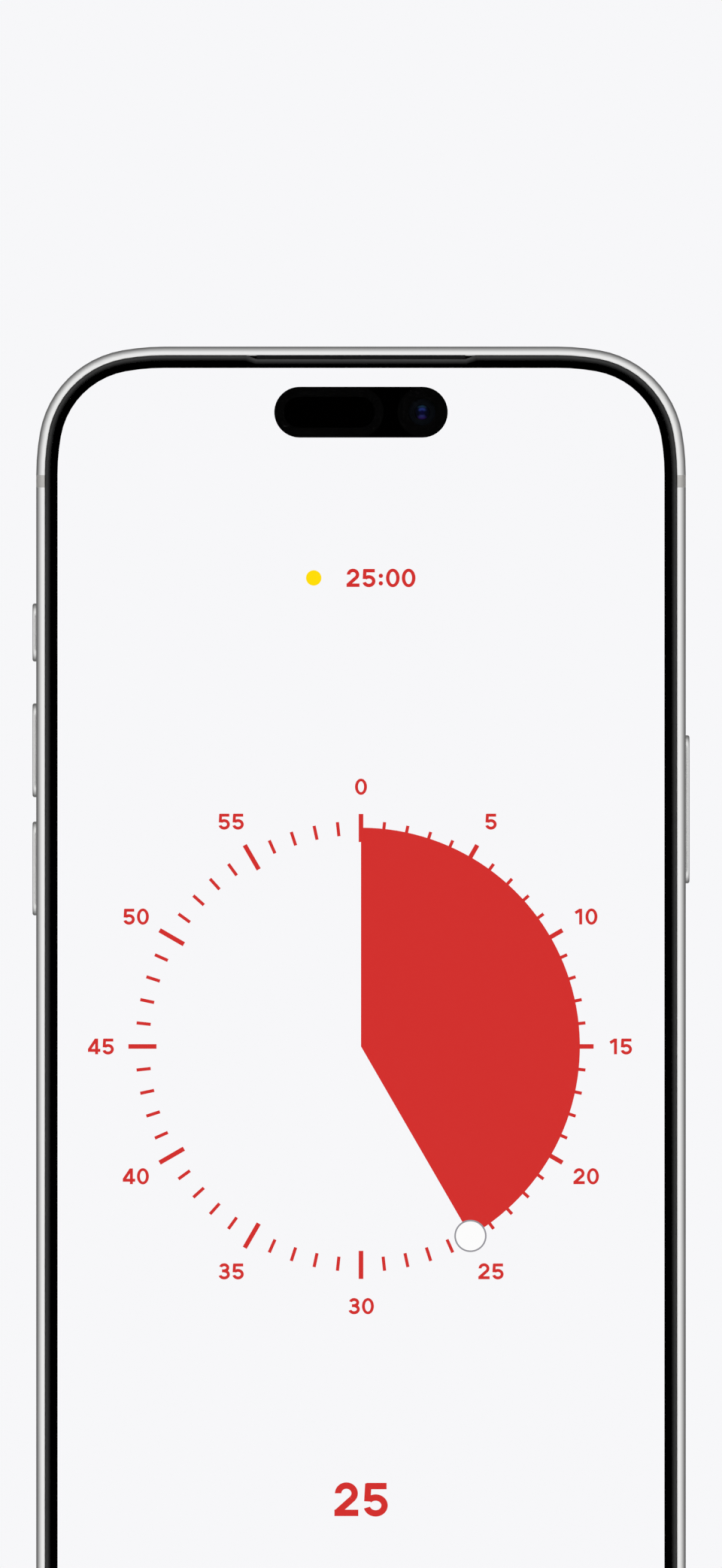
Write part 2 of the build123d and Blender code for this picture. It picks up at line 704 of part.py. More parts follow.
# --- Front camera and sensors -------------------------------------------------------------------
def make_front_camera():
    """Front camera housing, open to the front around its lens barrel."""
    body = FRONT_CAMERA_RADIUS + 2 * SENSOR_CLEARANCE
    front = GLASS_BACK + INK + SENSOR_CLEARANCE
    floor = SHIELD_BACK + FRONT_CAMERA_DEPTH - FRONT_CAMERA_FLOOR
    with BuildPart() as camera:
        block(
            (FRONT_CAMERA_X - body, FRONT_CAMERA_X + body),
            (SHIELD_BACK + SENSOR_CLEARANCE, SHIELD_BACK + FRONT_CAMERA_DEPTH),
            (PILL_Z - body, PILL_Z + body),
        )
        with BuildSketch(face_plane(SHIELD_BACK + SENSOR_CLEARANCE)):
            with Locations((FRONT_CAMERA_X, PILL_Z)):
                Circle(FRONT_CAMERA_RADIUS)
        extrude(amount=SHIELD_BACK + SENSOR_CLEARANCE - front)
        with BuildSketch(face_plane(floor)):
            with Locations((FRONT_CAMERA_X, PILL_Z)):
                Circle(FRONT_CAMERA_LENS_RADIUS + SENSOR_CLEARANCE)
        extrude(amount=floor - front, mode=Mode.SUBTRACT)
    return camera


def make_front_lens():
    """Lens barrel of the front camera, with a stepped aperture."""
    front = GLASS_BACK + INK + 2 * SENSOR_CLEARANCE
    back = SHIELD_BACK + FRONT_CAMERA_DEPTH - FRONT_CAMERA_FLOOR - SENSOR_CLEARANCE
    with BuildPart() as lens:
        with BuildSketch(face_plane(back)):
            with Locations((FRONT_CAMERA_X, PILL_Z)):
                Circle(FRONT_CAMERA_LENS_RADIUS)
        extrude(amount=back - front)
        with BuildSketch(face_plane(front + FRONT_LENS_STEP)):
            with Locations((FRONT_CAMERA_X, PILL_Z)):
                Circle(FRONT_LENS_APERTURE)
        extrude(amount=FRONT_LENS_STEP, mode=Mode.SUBTRACT)
    return lens


def make_face_sensor():
    """Depth sensor behind the left of the pill."""
    front = GLASS_BACK + INK + SENSOR_CLEARANCE
    with BuildPart() as sensor:
        with BuildSketch(face_plane(SHIELD_BACK + FACE_SENSOR_DEPTH)):
            with Locations((FACE_SENSOR_X, PILL_Z)):
                SlotOverall(FACE_SENSOR_WIDTH, FACE_SENSOR_HEIGHT)
        extrude(amount=SHIELD_BACK + FACE_SENSOR_DEPTH - front)
    return sensor


# --- Rear cameras -------------------------------------------------------------------------------
def make_island():
    """Raised glass plate with a hole for each lens ring and the flash."""
    with BuildPart() as island:
        with BuildSketch(face_plane(ISLAND_TOP)):
            island_outline(0)
            with Locations(*LENSES.values()):
                Circle(RING_NECK_RADIUS + FIT_GAP, mode=Mode.SUBTRACT)
            with Locations(FLASH):
                Circle(FLASH_RADIUS + FIT_GAP, mode=Mode.SUBTRACT)
        extrude(amount=ISLAND_RISE + REAR_GLASS)
        rim = island.faces().sort_by(Axis.Y)[-1].outer_wire().edges()
        fillet(rim, ISLAND_ROUND)
    return island


def make_lens_rings():
    """Three metal rings that frame the lens windows and pass through the island."""
    with BuildPart() as rings:
        with BuildSketch(face_plane(RING_TOP)):
            with Locations(*LENSES.values()):
                Circle(RING_RADIUS)
        extrude(amount=RING_RISE - LAYER_GAP)
        fillet(rings.faces().sort_by(Axis.Y)[-3:].edges(), ISLAND_ROUND / 2)
        with BuildSketch(face_plane(ISLAND_TOP + RING_RISE / 2)):
            with Locations(*LENSES.values()):
                Circle(RING_NECK_RADIUS)
        extrude(amount=RING_RISE / 2 + ISLAND_RISE)
        with BuildSketch(face_plane(RING_TOP)):
            with Locations(*LENSES.values()):
                Circle(RING_BORE)
        extrude(amount=RING_RISE + ISLAND_RISE + REAR_GLASS, mode=Mode.SUBTRACT)
        with BuildSketch(face_plane(RING_TOP)):
            with Locations(*LENSES.values()):
                Circle(WINDOW_RADIUS + FIT_GAP)
        extrude(amount=WINDOW_SUNK + WINDOW, mode=Mode.SUBTRACT)
    return rings


def make_lens_windows():
    """Three clear windows seated in the rings."""
    with BuildPart() as windows:
        with BuildSketch(face_plane(RING_TOP - WINDOW_SUNK)):
            with Locations(*LENSES.values()):
                Circle(WINDOW_RADIUS)
        extrude(amount=WINDOW)
    return windows


def make_camera_bodies():
    """Rear camera housings: a square base with a round turret, bored for the lens barrel."""
    turret_top = BARREL_FRONT_Y - FOCUS_TRAVEL
    bore_floor = BARREL_FRONT_Y - BARREL_LENGTH - BARREL_GAP
    base_top = REAR - REAR_GLASS - LAYER_GAP
    with BuildPart() as bodies:
        with BuildSketch(face_plane(base_top)):
            with Locations(*LENSES.values()):
                RectangleRounded(MODULE, MODULE, MODULE_CORNER)
        extrude(amount=base_top - BAY_FRONT)
        with BuildSketch(face_plane(turret_top)):
            with Locations(*LENSES.values()):
                Circle(TURRET_RADIUS)
        extrude(amount=turret_top - BAY_FRONT)
        with BuildSketch(face_plane(turret_top)):
            with Locations(*LENSES.values()):
                Circle(BARREL_RADIUS + BARREL_GAP)
        extrude(amount=turret_top - bore_floor, mode=Mode.SUBTRACT)
    return bodies


def make_camera_lens(centre, aperture):
    """Lens barrel that slides in its housing to focus, with a stepped funnel down to the glass."""
    step = (BARREL_RADIUS - aperture) / FUNNEL_STEPS
    with BuildPart() as lens:
        with BuildSketch(face_plane(BARREL_FRONT_Y)):
            with Locations(centre):
                Circle(BARREL_RADIUS)
        extrude(amount=BARREL_LENGTH)
        for i in range(FUNNEL_STEPS):
            with BuildSketch(face_plane(BARREL_FRONT_Y)):
                with Locations(centre):
                    Circle(BARREL_RADIUS - (i + 1) * step)
            extrude(amount=FUNNEL_DEPTH * (i + 1) / FUNNEL_STEPS, mode=Mode.SUBTRACT)
    return lens


def make_flash_window():
    """Small round window of the flash, nearly flush with the island."""
    with BuildPart() as window:
        with BuildSketch(face_plane(ISLAND_TOP - WINDOW_SUNK)):
            with Locations(FLASH):
                Circle(FLASH_RADIUS)
        extrude(amount=FLASH_WINDOW)
    return window


def make_flash_light():
    """Light module behind the flash window, on its small board."""
    face = ISLAND_TOP - WINDOW_SUNK - FLASH_WINDOW - ROOM
    board_top = REAR - REAR_GLASS - LAYER_GAP
    with BuildPart() as light:
        with BuildSketch(face_plane(face)):
            with Locations(FLASH):
                Rectangle(FLASH_LIGHT, FLASH_LIGHT)
        extrude(amount=face - board_top)
        with BuildSketch(face_plane(board_top)):
            with Locations(FLASH):
                Circle(FLASH_BOARD_RADIUS)
        extrude(amount=FLASH_BOARD)
    return light


# --- Buttons ------------------------------------------------------------------------------------
def make_button(side, drop, length):
    """Button cap with two posts that reach through the band."""
    z = HEIGHT - drop
    with BuildPart() as cap:
        with BuildSketch(side_plane(side, WIDTH / 2 + BUTTON_PROUD)):
            with Locations((0, z)):
                button_slot(length, 0)
        extrude(amount=-(BUTTON_PROUD + BUTTON_SUNK))
        fillet(cap.faces().sort_by(Axis.X)[-1 if side == "right" else 0].edges(), BUTTON_ROUND)
        with BuildSketch(side_plane(side, WIDTH / 2 - BUTTON_SUNK)):
            for reach in post_places(length):
                with Locations((0, z + reach)):
                    Circle(POST_RADIUS)
        extrude(amount=-(WALL - BUTTON_SUNK + CLIP_GAP + CLIP))
    return cap


def make_clip(side, drop, length):
    """Spring-steel clip that holds the posts inside the band and carries the nub."""
    z = HEIGHT - drop
    with BuildPart() as clip:
        with BuildSketch(side_plane(side, INNER_X - CLIP_GAP)):
            with Locations((0, z)):
                button_slot(length, -BUTTON_GAP)
            for reach in post_places(length):
                with Locations((0, z + reach)):
                    Circle(POST_RADIUS + LAYER_GAP, mode=Mode.SUBTRACT)
        extrude(amount=-CLIP)
        with BuildSketch(side_plane(side, INNER_X - CLIP_GAP - CLIP)):
            with Locations((0, z)):
                Circle(NUB_RADIUS)
        extrude(amount=-NUB)
    return clip


def make_switches():
    """Dome switches behind the buttons, each with its housing."""
    with BuildPart() as switches:
        for side, drop, _ in BUTTONS.values():
            with BuildSketch(side_plane(side, SWITCH_FACE)):
                with Locations((0, HEIGHT - drop)):
                    RectangleRounded(BUTTON_WIDTH, SWITCH_LENGTH, SWITCH_CORNER)
            extrude(amount=-SWITCH)
            with BuildSketch(side_plane(side, SWITCH_FACE)):
                with Locations((0, HEIGHT - drop)):
                    Circle(DOME_RADIUS)
            extrude(amount=DOME, taper=DOME_TAPER)
    return switches


def make_brackets():
    """Bent steel strips that carry the switches of each side and stand on the chassis."""
    outer = BRACKET_INNER + BRACKET
    with BuildPart() as brackets:
        for side in ("left", "right"):
            out = outward(side)
            places = [HEIGHT - drop for s, drop, _ in BUTTONS.values() if s == side]
            length = (min(places) - SWITCH_LENGTH, max(places) + SWITCH_LENGTH)
            upright = sorted_span(out * BRACKET_INNER, out * (outer - LAYER_GAP))
            foot = sorted_span(out * BRACKET_INNER, out * (INNER_X - ROOM))
            block(upright, (-BUTTON_WIDTH / 2, BAY_REAR), length)
            block(foot, (BAY_REAR - BRACKET, BAY_REAR), length)
    return brackets


def sorted_span(a, b):
    """The two numbers as a (low, high) pair."""
    return (min(a, b), max(a, b))


# --- Card tray ----------------------------------------------------------------------------------
def make_tray():
    """Card tray: a long rounded face with a pin hole, and an open frame that holds the card."""
    inner = -WIDTH / 2 + TRAY_DEPTH
    half = TRAY_LENGTH / 2 - TRAY_RAIL
    with BuildPart() as tray:
        with BuildSketch(side_plane("left", WIDTH / 2)):
            with Locations((0, TRAY_Z)):
                SlotOverall(TRAY_LENGTH, TRAY_FACE_HEIGHT, rotation=90)
        extrude(amount=-(WALL / 2 - TRAY_GAP))
        block(
            (-WIDTH / 2 + WALL / 4, inner),
            (-TRAY_THICKNESS / 2, TRAY_THICKNESS / 2),
            (TRAY_Z - half, TRAY_Z + half),
        )
        card = card_span()
        block(
            (card[0] - FIT_GAP, card[1] + FIT_GAP),
            (-TRAY_THICKNESS / 2, TRAY_THICKNESS / 2),
            (TRAY_Z - CARD_LENGTH / 2 - FIT_GAP, TRAY_Z + CARD_LENGTH / 2 + FIT_GAP),
            mode=Mode.SUBTRACT,
        )
        with BuildSketch(side_plane("left", WIDTH / 2)):
            with Locations((0, TRAY_Z - TRAY_LENGTH / 2 + TRAY_FACE_HEIGHT / 2 + PIN_HOLE_RADIUS / 2)):
                Circle(PIN_HOLE_RADIUS)
        extrude(amount=-WALL / 2, mode=Mode.SUBTRACT)
    return tray


def card_span():
    """Where the card lies across the handset."""
    inner = -WIDTH / 2 + TRAY_DEPTH - (TRAY_RAIL - FIT_GAP) / 2
    return (inner - CARD_WIDTH, inner)


def make_card():
    """Small subscriber card with one cut corner."""
    half = CARD_LENGTH / 2
    with BuildPart() as card:
        block(card_span(), (-CARD_THICKNESS / 2, CARD_THICKNESS / 2), (TRAY_Z - half, TRAY_Z + half))
        chamfer(card.edges().filter_by(Axis.Y).sort_by(Axis.X)[-2:].sort_by(Axis.Z)[-1], CARD_CUT)
    return card


def make_reader():
    """Stamped cage on the board that the tray slides into."""
    half = TRAY_LENGTH / 2 - TRAY_RAIL + TRAY_GAP
    low = -INNER_X + ROOM
    high = -WIDTH / 2 + TRAY_DEPTH + ROOM
    gap = TRAY_THICKNESS / 2 + TRAY_GAP
    with BuildPart() as reader:
        block(
            (low, high + READER_WALL),
            (-gap - READER_WALL, BOARD_FRONT - LAYER_GAP),
            (TRAY_Z - half - READER_WALL, TRAY_Z + half + READER_WALL),
        )
        block((low, high), (-gap, gap), (TRAY_Z - half, TRAY_Z + half), mode=Mode.SUBTRACT)
    return reader


# --- Power and logic ----------------------------------------------------------------------------
def make_battery():
    """L-shaped pouch cell that fills the bay beside and below the board."""
    leg_top = BOARD_BOTTOM - 3 * ROOM
    with BuildPart() as battery:
        with BuildSketch(face_plane(BATTERY_BACK)):
            with BuildLine():
                Polyline(
                    (BOARD_LEFT, BATTERY_BOTTOM),
                    (BAY_X, BATTERY_BOTTOM),
                    (BAY_X, BATTERY_TOP),
                    (BATTERY_LEFT, BATTERY_TOP),
                    (BATTERY_LEFT, leg_top),
                    (BOARD_LEFT, leg_top),
                    close=True,
                )
            make_face()
        extrude(amount=BATTERY_THICKNESS)
        fillet(battery.edges(), BATTERY_ROUND)
    return battery


def make_board():
    """Logic board on its standoffs."""
    with BuildPart() as board:
        with BuildSketch(face_plane(BOARD_BACK)):
            with Locations(((BOARD_LEFT + BOARD_RIGHT) / 2, (BOARD_BOTTOM + BOARD_TOP) / 2)):
                RectangleRounded(BOARD_RIGHT - BOARD_LEFT, BOARD_TOP - BOARD_BOTTOM, BOSS_RADIUS)
            with Locations(*board_screw_places()):
                Circle(BOARD_SCREW_RADIUS + FIT_GAP, mode=Mode.SUBTRACT)
        extrude(amount=BOARD)
    return board


def make_board_screws():
    """Four small screws through the board into the chassis bosses."""
    with BuildPart() as screws:
        with BuildSketch(face_plane(BOARD_FRONT)):
            with Locations(*board_screw_places()):
                Circle(BOARD_SCREW_HEAD_RADIUS)
        extrude(amount=BOARD_SCREW_HEAD)
        with BuildSketch(face_plane(CHASSIS_FRONT)):
            with Locations(*board_screw_places()):
                Circle(BOARD_SCREW_RADIUS)
        extrude(amount=BOARD_STANDOFF + BOARD)
        with BuildSketch(face_plane(BOARD_FRONT - BOARD_SCREW_HEAD / 2)):
            with Locations(*board_screw_places()):
                RegularPolygon(BOARD_SCREW_HEAD_RADIUS / 2, 6)
        extrude(amount=BOARD_SCREW_HEAD / 2, mode=Mode.SUBTRACT)
    return screws


def can_spans():
    """Spans, across and up the board, of its two shielded zones."""
    edge = 4 * BOSS_RADIUS
    low = TRAY_Z + TRAY_LENGTH / 2 + 2 * ROOM
    return [
        ((BOARD_LEFT + ROOM, BOARD_RIGHT - ROOM), (low, BOARD_TOP - edge)),
        (
            (-WIDTH / 2 + TRAY_DEPTH + CAN_MARGIN, BOARD_RIGHT - ROOM),
            (TRAY_Z - TRAY_LENGTH / 2, low - 2 * ROOM),
        ),
    ]


def make_cans():
    """Two stamped shield cans over the board's chips."""
    top = BOARD_FRONT - CAN_HEIGHT
    with BuildPart() as cans:
        for x, z in can_spans():
            block(x, (top, BOARD_FRONT - LAYER_GAP), z)
            block(
                (x[0] + CAN_WALL, x[1] - CAN_WALL),
                (top + CAN_WALL, BOARD_FRONT),
                (z[0] + CAN_WALL, z[1] - CAN_WALL),
                mode=Mode.SUBTRACT,
            )
    return cans


def make_chips():
    """Chips under the cans, and the two board connectors below them."""
    deep = (BOARD_FRONT - CHIP_HEIGHT, BOARD_FRONT - LAYER_GAP)
    with BuildPart() as chips:
        for x, z in can_spans():
            middle = (x[0] + x[1]) / 2
            rows = max(1, int((z[1] - z[0]) // CHIP_PITCH))
            pitch = (z[1] - z[0]) / rows
            half = min(pitch, x[1] - x[0]) / 2 - 2 * ROOM
            for row in range(rows):
                centre = z[0] + (row + 0.5) * pitch
                block((middle - half, middle + half), deep, (centre - half, centre + half))
        for x, z in connector_places():
            block((x, x + CONNECTOR_LENGTH), deep, (z - CONNECTOR_WIDTH / 2, z + CONNECTOR_WIDTH / 2))
    return chips


def connector_places():
    """Left end and height of each board connector: the display's, then the battery's."""
    row = BOARD_BOTTOM + 5 * BOSS_RADIUS
    return [(BOARD_LEFT + 4 * BOSS_RADIUS, row), (BOARD_RIGHT - CONNECTOR_LENGTH - ROOM, row)]


def make_ribbons():
    """Flexible ribbons: from the display, from the battery and up from the charging port."""
    front = SHIELD_BACK + LAYER_GAP
    rear = BOARD_FRONT - CHIP_HEIGHT - LAYER_GAP
    half = CONNECTOR_WIDTH / 2
    (display_x, row), (battery_x, _) = connector_places()
    fold = row - CONNECTOR_WIDTH
    port_x = BOARD_RIGHT + ROOM
    behind = (BAY_REAR - LAYER_GAP - RIBBON, BAY_REAR - LAYER_GAP)
    port_start = PORT_DEPTH + PORT_BLOCK + 2 * LAYER_GAP
    port_end = (BOARD_BOTTOM + BOARD_TOP) / 2
    with BuildPart() as ribbons:
        block((display_x, display_x + CONNECTOR_LENGTH), (front, front + RIBBON), (fold, fold + RIBBON_LAP))
        block((display_x, display_x + CONNECTOR_LENGTH), (front, rear), (fold, fold + RIBBON))
        block((display_x, display_x + CONNECTOR_LENGTH), (rear - RIBBON, rear), (fold, row + half))
        block((battery_x, BATTERY_LEFT - LAYER_GAP), (rear - RIBBON, rear), (row - half, row + half))
        block((port_x, port_x + PORT_RIBBON_WIDTH), behind, (port_start, port_end))
        block(
            (BOARD_RIGHT - PORT_RIBBON_LAP, port_x + PORT_RIBBON_WIDTH),
            behind,
            (port_end - PORT_RIBBON_LAP, port_end),
        )
    return ribbons


# --- Wireless charging --------------------------------------------------------------------------
def make_coil():
    """Flat charging coil behind the rear glass."""
    with BuildPart() as coil:
        with BuildSketch(face_plane(COIL_BACK)):
            with Locations((0, HEIGHT / 2)):
                Circle(COIL_OUTER)
                Circle(COIL_INNER, mode=Mode.SUBTRACT)
        extrude(amount=COIL)
    return coil


def make_ferrite():
    """Thin ferrite disc between the coil and the chassis."""
    with BuildPart() as ferrite:
        with BuildSketch(face_plane(COIL_BACK - COIL - LAYER_GAP)):
            with Locations((0, HEIGHT / 2)):
                Circle(COIL_OUTER)
        extrude(amount=FERRITE)
    return ferrite


def make_magnets():
    """Ring of arc magnets around the coil."""
    step = 360 / MAGNETS
    with BuildPart() as magnets:
        with BuildSketch(face_plane(COIL_BACK)):
            with BuildLine():
                outer = CenterArc((0, HEIGHT / 2), MAGNET_OUTER, -step * MAGNET_FILL / 2, step * MAGNET_FILL)
                inner = CenterArc((0, HEIGHT / 2), MAGNET_INNER, -step * MAGNET_FILL / 2, step * MAGNET_FILL)
                Line(outer @ 0, inner @ 0)
                Line(outer @ 1, inner @ 1)
            wedge = make_face(mode=Mode.PRIVATE)
            for i in range(MAGNETS):
                add(wedge.rotate(Axis((0, HEIGHT / 2, 0), (0, 0, 1)), i * step))
        extrude(amount=COIL + FERRITE)
    return magnets


# --- Sound and haptics --------------------------------------------------------------------------
def bay_case(x, y, z, window):
    """Open-fronted case with a pocket that leaves the given wall all round."""
    block(x, y, z)
    block(
        (x[0] + window, x[1] - window),
        (y[0], y[1] - CASE_WALL),
        (z[0] + window, z[1] - window),
        mode=Mode.SUBTRACT,
    )


def haptic_spans():
    """Spans of the haptic motor's case."""
    right = -SCREW_X - SCREW_HEAD_RADIUS - ROOM
    top = BATTERY_BOTTOM - ROOM
    return (HAPTIC_MARGIN - WIDTH / 2, right), (BAY_FRONT, BAY_REAR), (top - HAPTIC_HEIGHT, top)


def make_haptic_case():
    """Open-fronted case of the haptic motor."""
    with BuildPart() as case:
        bay_case(*haptic_spans(), CASE_WALL)
    return case


def make_haptic_mass():
    """Tungsten weight that slides from side to side in the haptic motor."""
    x, y, z = haptic_spans()
    inset = CASE_WALL + SPRING_ROOM
    with BuildPart() as mass:
        block(
            (x[0] + inset, x[1] - inset),
            (y[0] + CASE_WALL, y[1] - CASE_WALL - ROOM),
            (z[0] + CASE_WALL + ROOM, z[1] - CASE_WALL - ROOM),
        )
        chamfer(mass.edges().filter_by(Axis.Y), CASE_WALL)
    return mass


def make_haptic_springs():
    """Two folded leaf springs, one at each end of the weight, clear of its stroke."""
    x, y, z = haptic_spans()
    depth = (y[0] + 2 * ROOM, y[1] - CASE_WALL - 2 * ROOM)
    low = z[0] + CASE_WALL + 2 * ROOM
    high = z[1] - CASE_WALL - 2 * ROOM
    with BuildPart() as springs:
        for wall, direction in ((x[0] + CASE_WALL, 1), (x[1] - CASE_WALL, -1)):
            near = wall + direction * LAYER_GAP
            far = wall + direction * (SPRING_ROOM - HAPTIC_STROKE - FIT_GAP)
            with BuildSketch(face_plane(depth[1])):
                with BuildLine():
                    Polyline(
                        (near + direction * SPRING_STRIP / 2, low),
                        (near + direction * SPRING_STRIP / 2, high),
                        (far - direction * SPRING_STRIP / 2, high),
                        (far - direction * SPRING_STRIP / 2, (low + high) / 2),
                    )
                trace(line_width=SPRING_STRIP)
            extrude(amount=depth[1] - depth[0])
    return springs


def speaker_spans():
    """Spans of the loudspeaker's case."""
    left = SCREW_X + SCREW_HEAD_RADIUS + ROOM
    bottom = WALL + MESH + ROOM
    return (left, WIDTH / 2 - SPEAKER_MARGIN), (BAY_FRONT, BAY_REAR), (bottom, BATTERY_BOTTOM - ROOM)


def make_speaker_case():
    """Open-fronted case of the loudspeaker."""
    with BuildPart() as case:
        bay_case(*speaker_spans(), SPEAKER_WALL)
    return case


def make_cone():
    """Loudspeaker diaphragm with a raised dome, in the mouth of its case."""
    x, y, z = speaker_spans()
    edge = SPEAKER_WALL + CONE_GAP
    face = y[0] + CONE_TRAVEL + CONE_GAP
    with BuildPart() as cone:
        with BuildSketch(face_plane(face + CONE)):
            with Locations(((x[0] + x[1]) / 2, (z[0] + z[1]) / 2)):
                RectangleRounded(x[1] - x[0] - 2 * edge, z[1] - z[0] - 2 * edge, CONE_CORNER)
        extrude(amount=CONE)
        with BuildSketch(face_plane(face + CONE)):
            with Locations(((x[0] + x[1]) / 2, (z[0] + z[1]) / 2)):
                RectangleRounded(x[1] - x[0] - 4 * edge, z[1] - z[0] - 4 * edge, CONE_CORNER / 2)
        extrude(amount=-2 * CONE)
    return cone


def make_earpiece():
    """Closed earpiece speaker behind the face sensor."""
    right = FRONT_CAMERA_X - FRONT_CAMERA_RADIUS - 2 * SENSOR_CLEARANCE - ROOM
    top = HEIGHT - WALL - ROOM
    front = SHIELD_BACK + FACE_SENSOR_DEPTH + ROOM
    with BuildPart() as earpiece:
        block((right - EARPIECE_WIDTH, right), (front, BAY_REAR), (top - EARPIECE_HEIGHT, top))
        fillet(earpiece.edges().filter_by(Axis.Y), EARPIECE_ROUND)
    return earpiece


def make_sound_meshes():
    """Fine meshes behind the bottom sound holes, and the mesh bar in the earpiece slot."""
    rows = ((1, SPEAKER_HOLES), (-1, MIC_HOLES))
    top = HEIGHT - RIM - FIT_GAP
    half = SLOT_WIDTH / 2 - SLOT_SLOPE - FIT_GAP
    with BuildPart() as meshes:
        block((-half, half), (GLASS_BACK - GLASS / 2, GLASS_BACK), (top - SLOT_DEPTH + FIT_GAP, top))
        for side, count in rows:
            start = SOUND_HOLE_START - SOUND_HOLE_PITCH / 2
            end = start + count * SOUND_HOLE_PITCH
            block(
                sorted_span(side * start, side * end),
                (-1.5 * SOUND_HOLE_RADIUS, 1.5 * SOUND_HOLE_RADIUS),
                (WALL + LAYER_GAP, WALL + MESH),
            )
    return meshes


# --- Bottom edge --------------------------------------------------------------------------------
def make_port_shell():
    """Drawn metal shell of the charging port."""
    with BuildPart() as shell:
        with BuildSketch(bottom_plane(PORT_SUNK)):
            SlotOverall(PORT_WIDTH, PORT_HEIGHT)
            SlotOverall(PORT_WIDTH - 2 * PORT_SHELL, PORT_HEIGHT - 2 * PORT_SHELL, mode=Mode.SUBTRACT)
        extrude(amount=-(PORT_DEPTH - PORT_SUNK))
    return shell


def make_port_tongue():
    """Moulded block behind the shell, with the contact tongue."""
    with BuildPart() as tongue:
        block(
            (-PORT_WIDTH / 2 - PORT_BLOCK_SIDE, PORT_WIDTH / 2 + PORT_BLOCK_SIDE),
            (-PORT_HEIGHT / 2 - PORT_SHELL, BAY_REAR - LAYER_GAP),
            (PORT_DEPTH + LAYER_GAP, PORT_DEPTH + PORT_BLOCK),
        )
        block(
            (-TONGUE_WIDTH / 2, TONGUE_WIDTH / 2),
            (-TONGUE_THICKNESS / 2, TONGUE_THICKNESS / 2),
            (PORT_DEPTH - TONGUE_LENGTH, PORT_DEPTH + PORT_BLOCK / 2),
        )
    return tongue


def make_bottom_screws():
    """Two case screws beside the port, each with a six-sided drive."""
    with BuildPart() as screws:
        for side in (-1, 1):
            with BuildSketch(bottom_plane(0)):
                with Locations((side * SCREW_X, 0)):
                    Circle(SCREW_HEAD_RADIUS)
            extrude(amount=-SCREW_HEAD)
            with BuildSketch(bottom_plane(SCREW_HEAD)):
                with Locations((side * SCREW_X, 0)):
                    Circle(SCREW_RADIUS)
            extrude(amount=-SCREW_LENGTH)
            with BuildSketch(bottom_plane(0)):
                with Locations((side * SCREW_X, 0)):
                    RegularPolygon(SCREW_DRIVE_RADIUS, 6)
            extrude(amount=-SCREW_HEAD / 2, mode=Mode.SUBTRACT)
    return screws


# --- Build and write every piece ------------------------------------------------------------------
os.makedirs("parts", exist_ok=True)

whole_band = make_band()
break_tool = make_break_tool()
keep(cut_breaks(whole_band, break_tool), "band")
keep(make_breaks(whole_band, break_tool), "antenna_breaks")
keep(make_chassis(), "chassis_plate")
keep(make_rear_glass(), "rear_glass")
keep(make_seals(), "glass_seals")

keep(make_cover_glass(), "cover_glass")
keep(make_ink(), "black_border")
keep(panel_sheet(PANEL_BACK, PANEL), "display_panel")
keep(panel_sheet(SHIELD_BACK, SHIELD), "display_shield")

keep(make_sector(), "lit_time_sector")
keep(make_dial_marks(), "lit_dial_marks")
keep(make_handle(), "lit_handle")
keep(make_handle_line(), "lit_handle_line")
keep(make_readout(), "lit_readout")
keep(make_dot(), "lit_dot")

keep(make_front_camera(), "front_camera_body")
keep(make_front_lens(), "front_camera_lens")
keep(make_face_sensor(), "face_sensor")

keep(make_island(), "camera_island")
keep(make_lens_rings(), "lens_rings")
keep(make_lens_windows(), "lens_windows")
keep(make_camera_bodies(), "rear_camera_bodies")
for lens_name, lens_centre in LENSES.items():
    keep(make_camera_lens(lens_centre, APERTURES[lens_name]), f"{lens_name}_camera_lens")
keep(make_flash_window(), "flash_window")
keep(make_flash_light(), "flash_light")

for button_name, (button_side, button_drop, button_length) in BUTTONS.items():
    keep(make_button(button_side, button_drop, button_length), f"{button_name}_button")
    keep(make_clip(button_side, button_drop, button_length), f"{button_name}_clip")
keep(make_switches(), "button_switches")
keep(make_brackets(), "switch_brackets")

keep(make_tray(), "card_tray")
keep(make_card(), "card")
keep(make_reader(), "card_reader")

keep(make_battery(), "battery")
keep(make_board(), "logic_board")
keep(make_board_screws(), "board_screws")
keep(make_cans(), "shield_cans")
keep(make_chips(), "board_chips")
keep(make_ribbons(), "flex_ribbons")

keep(make_coil(), "charging_coil")
keep(make_ferrite(), "coil_ferrite")
keep(make_magnets(), "magnet_ring")

keep(make_haptic_case(), "haptic_case")
keep(make_haptic_mass(), "haptic_mass")
keep(make_haptic_springs(), "haptic_springs")
keep(make_speaker_case(), "loudspeaker_case")
keep(make_cone(), "loudspeaker_cone")
keep(make_earpiece(), "earpiece_speaker")
keep(make_sound_meshes(), "sound_meshes")

keep(make_port_shell(), "port_shell")
keep(make_port_tongue(), "port_tongue")
keep(make_bottom_screws(), "bottom_screws")
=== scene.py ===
import math

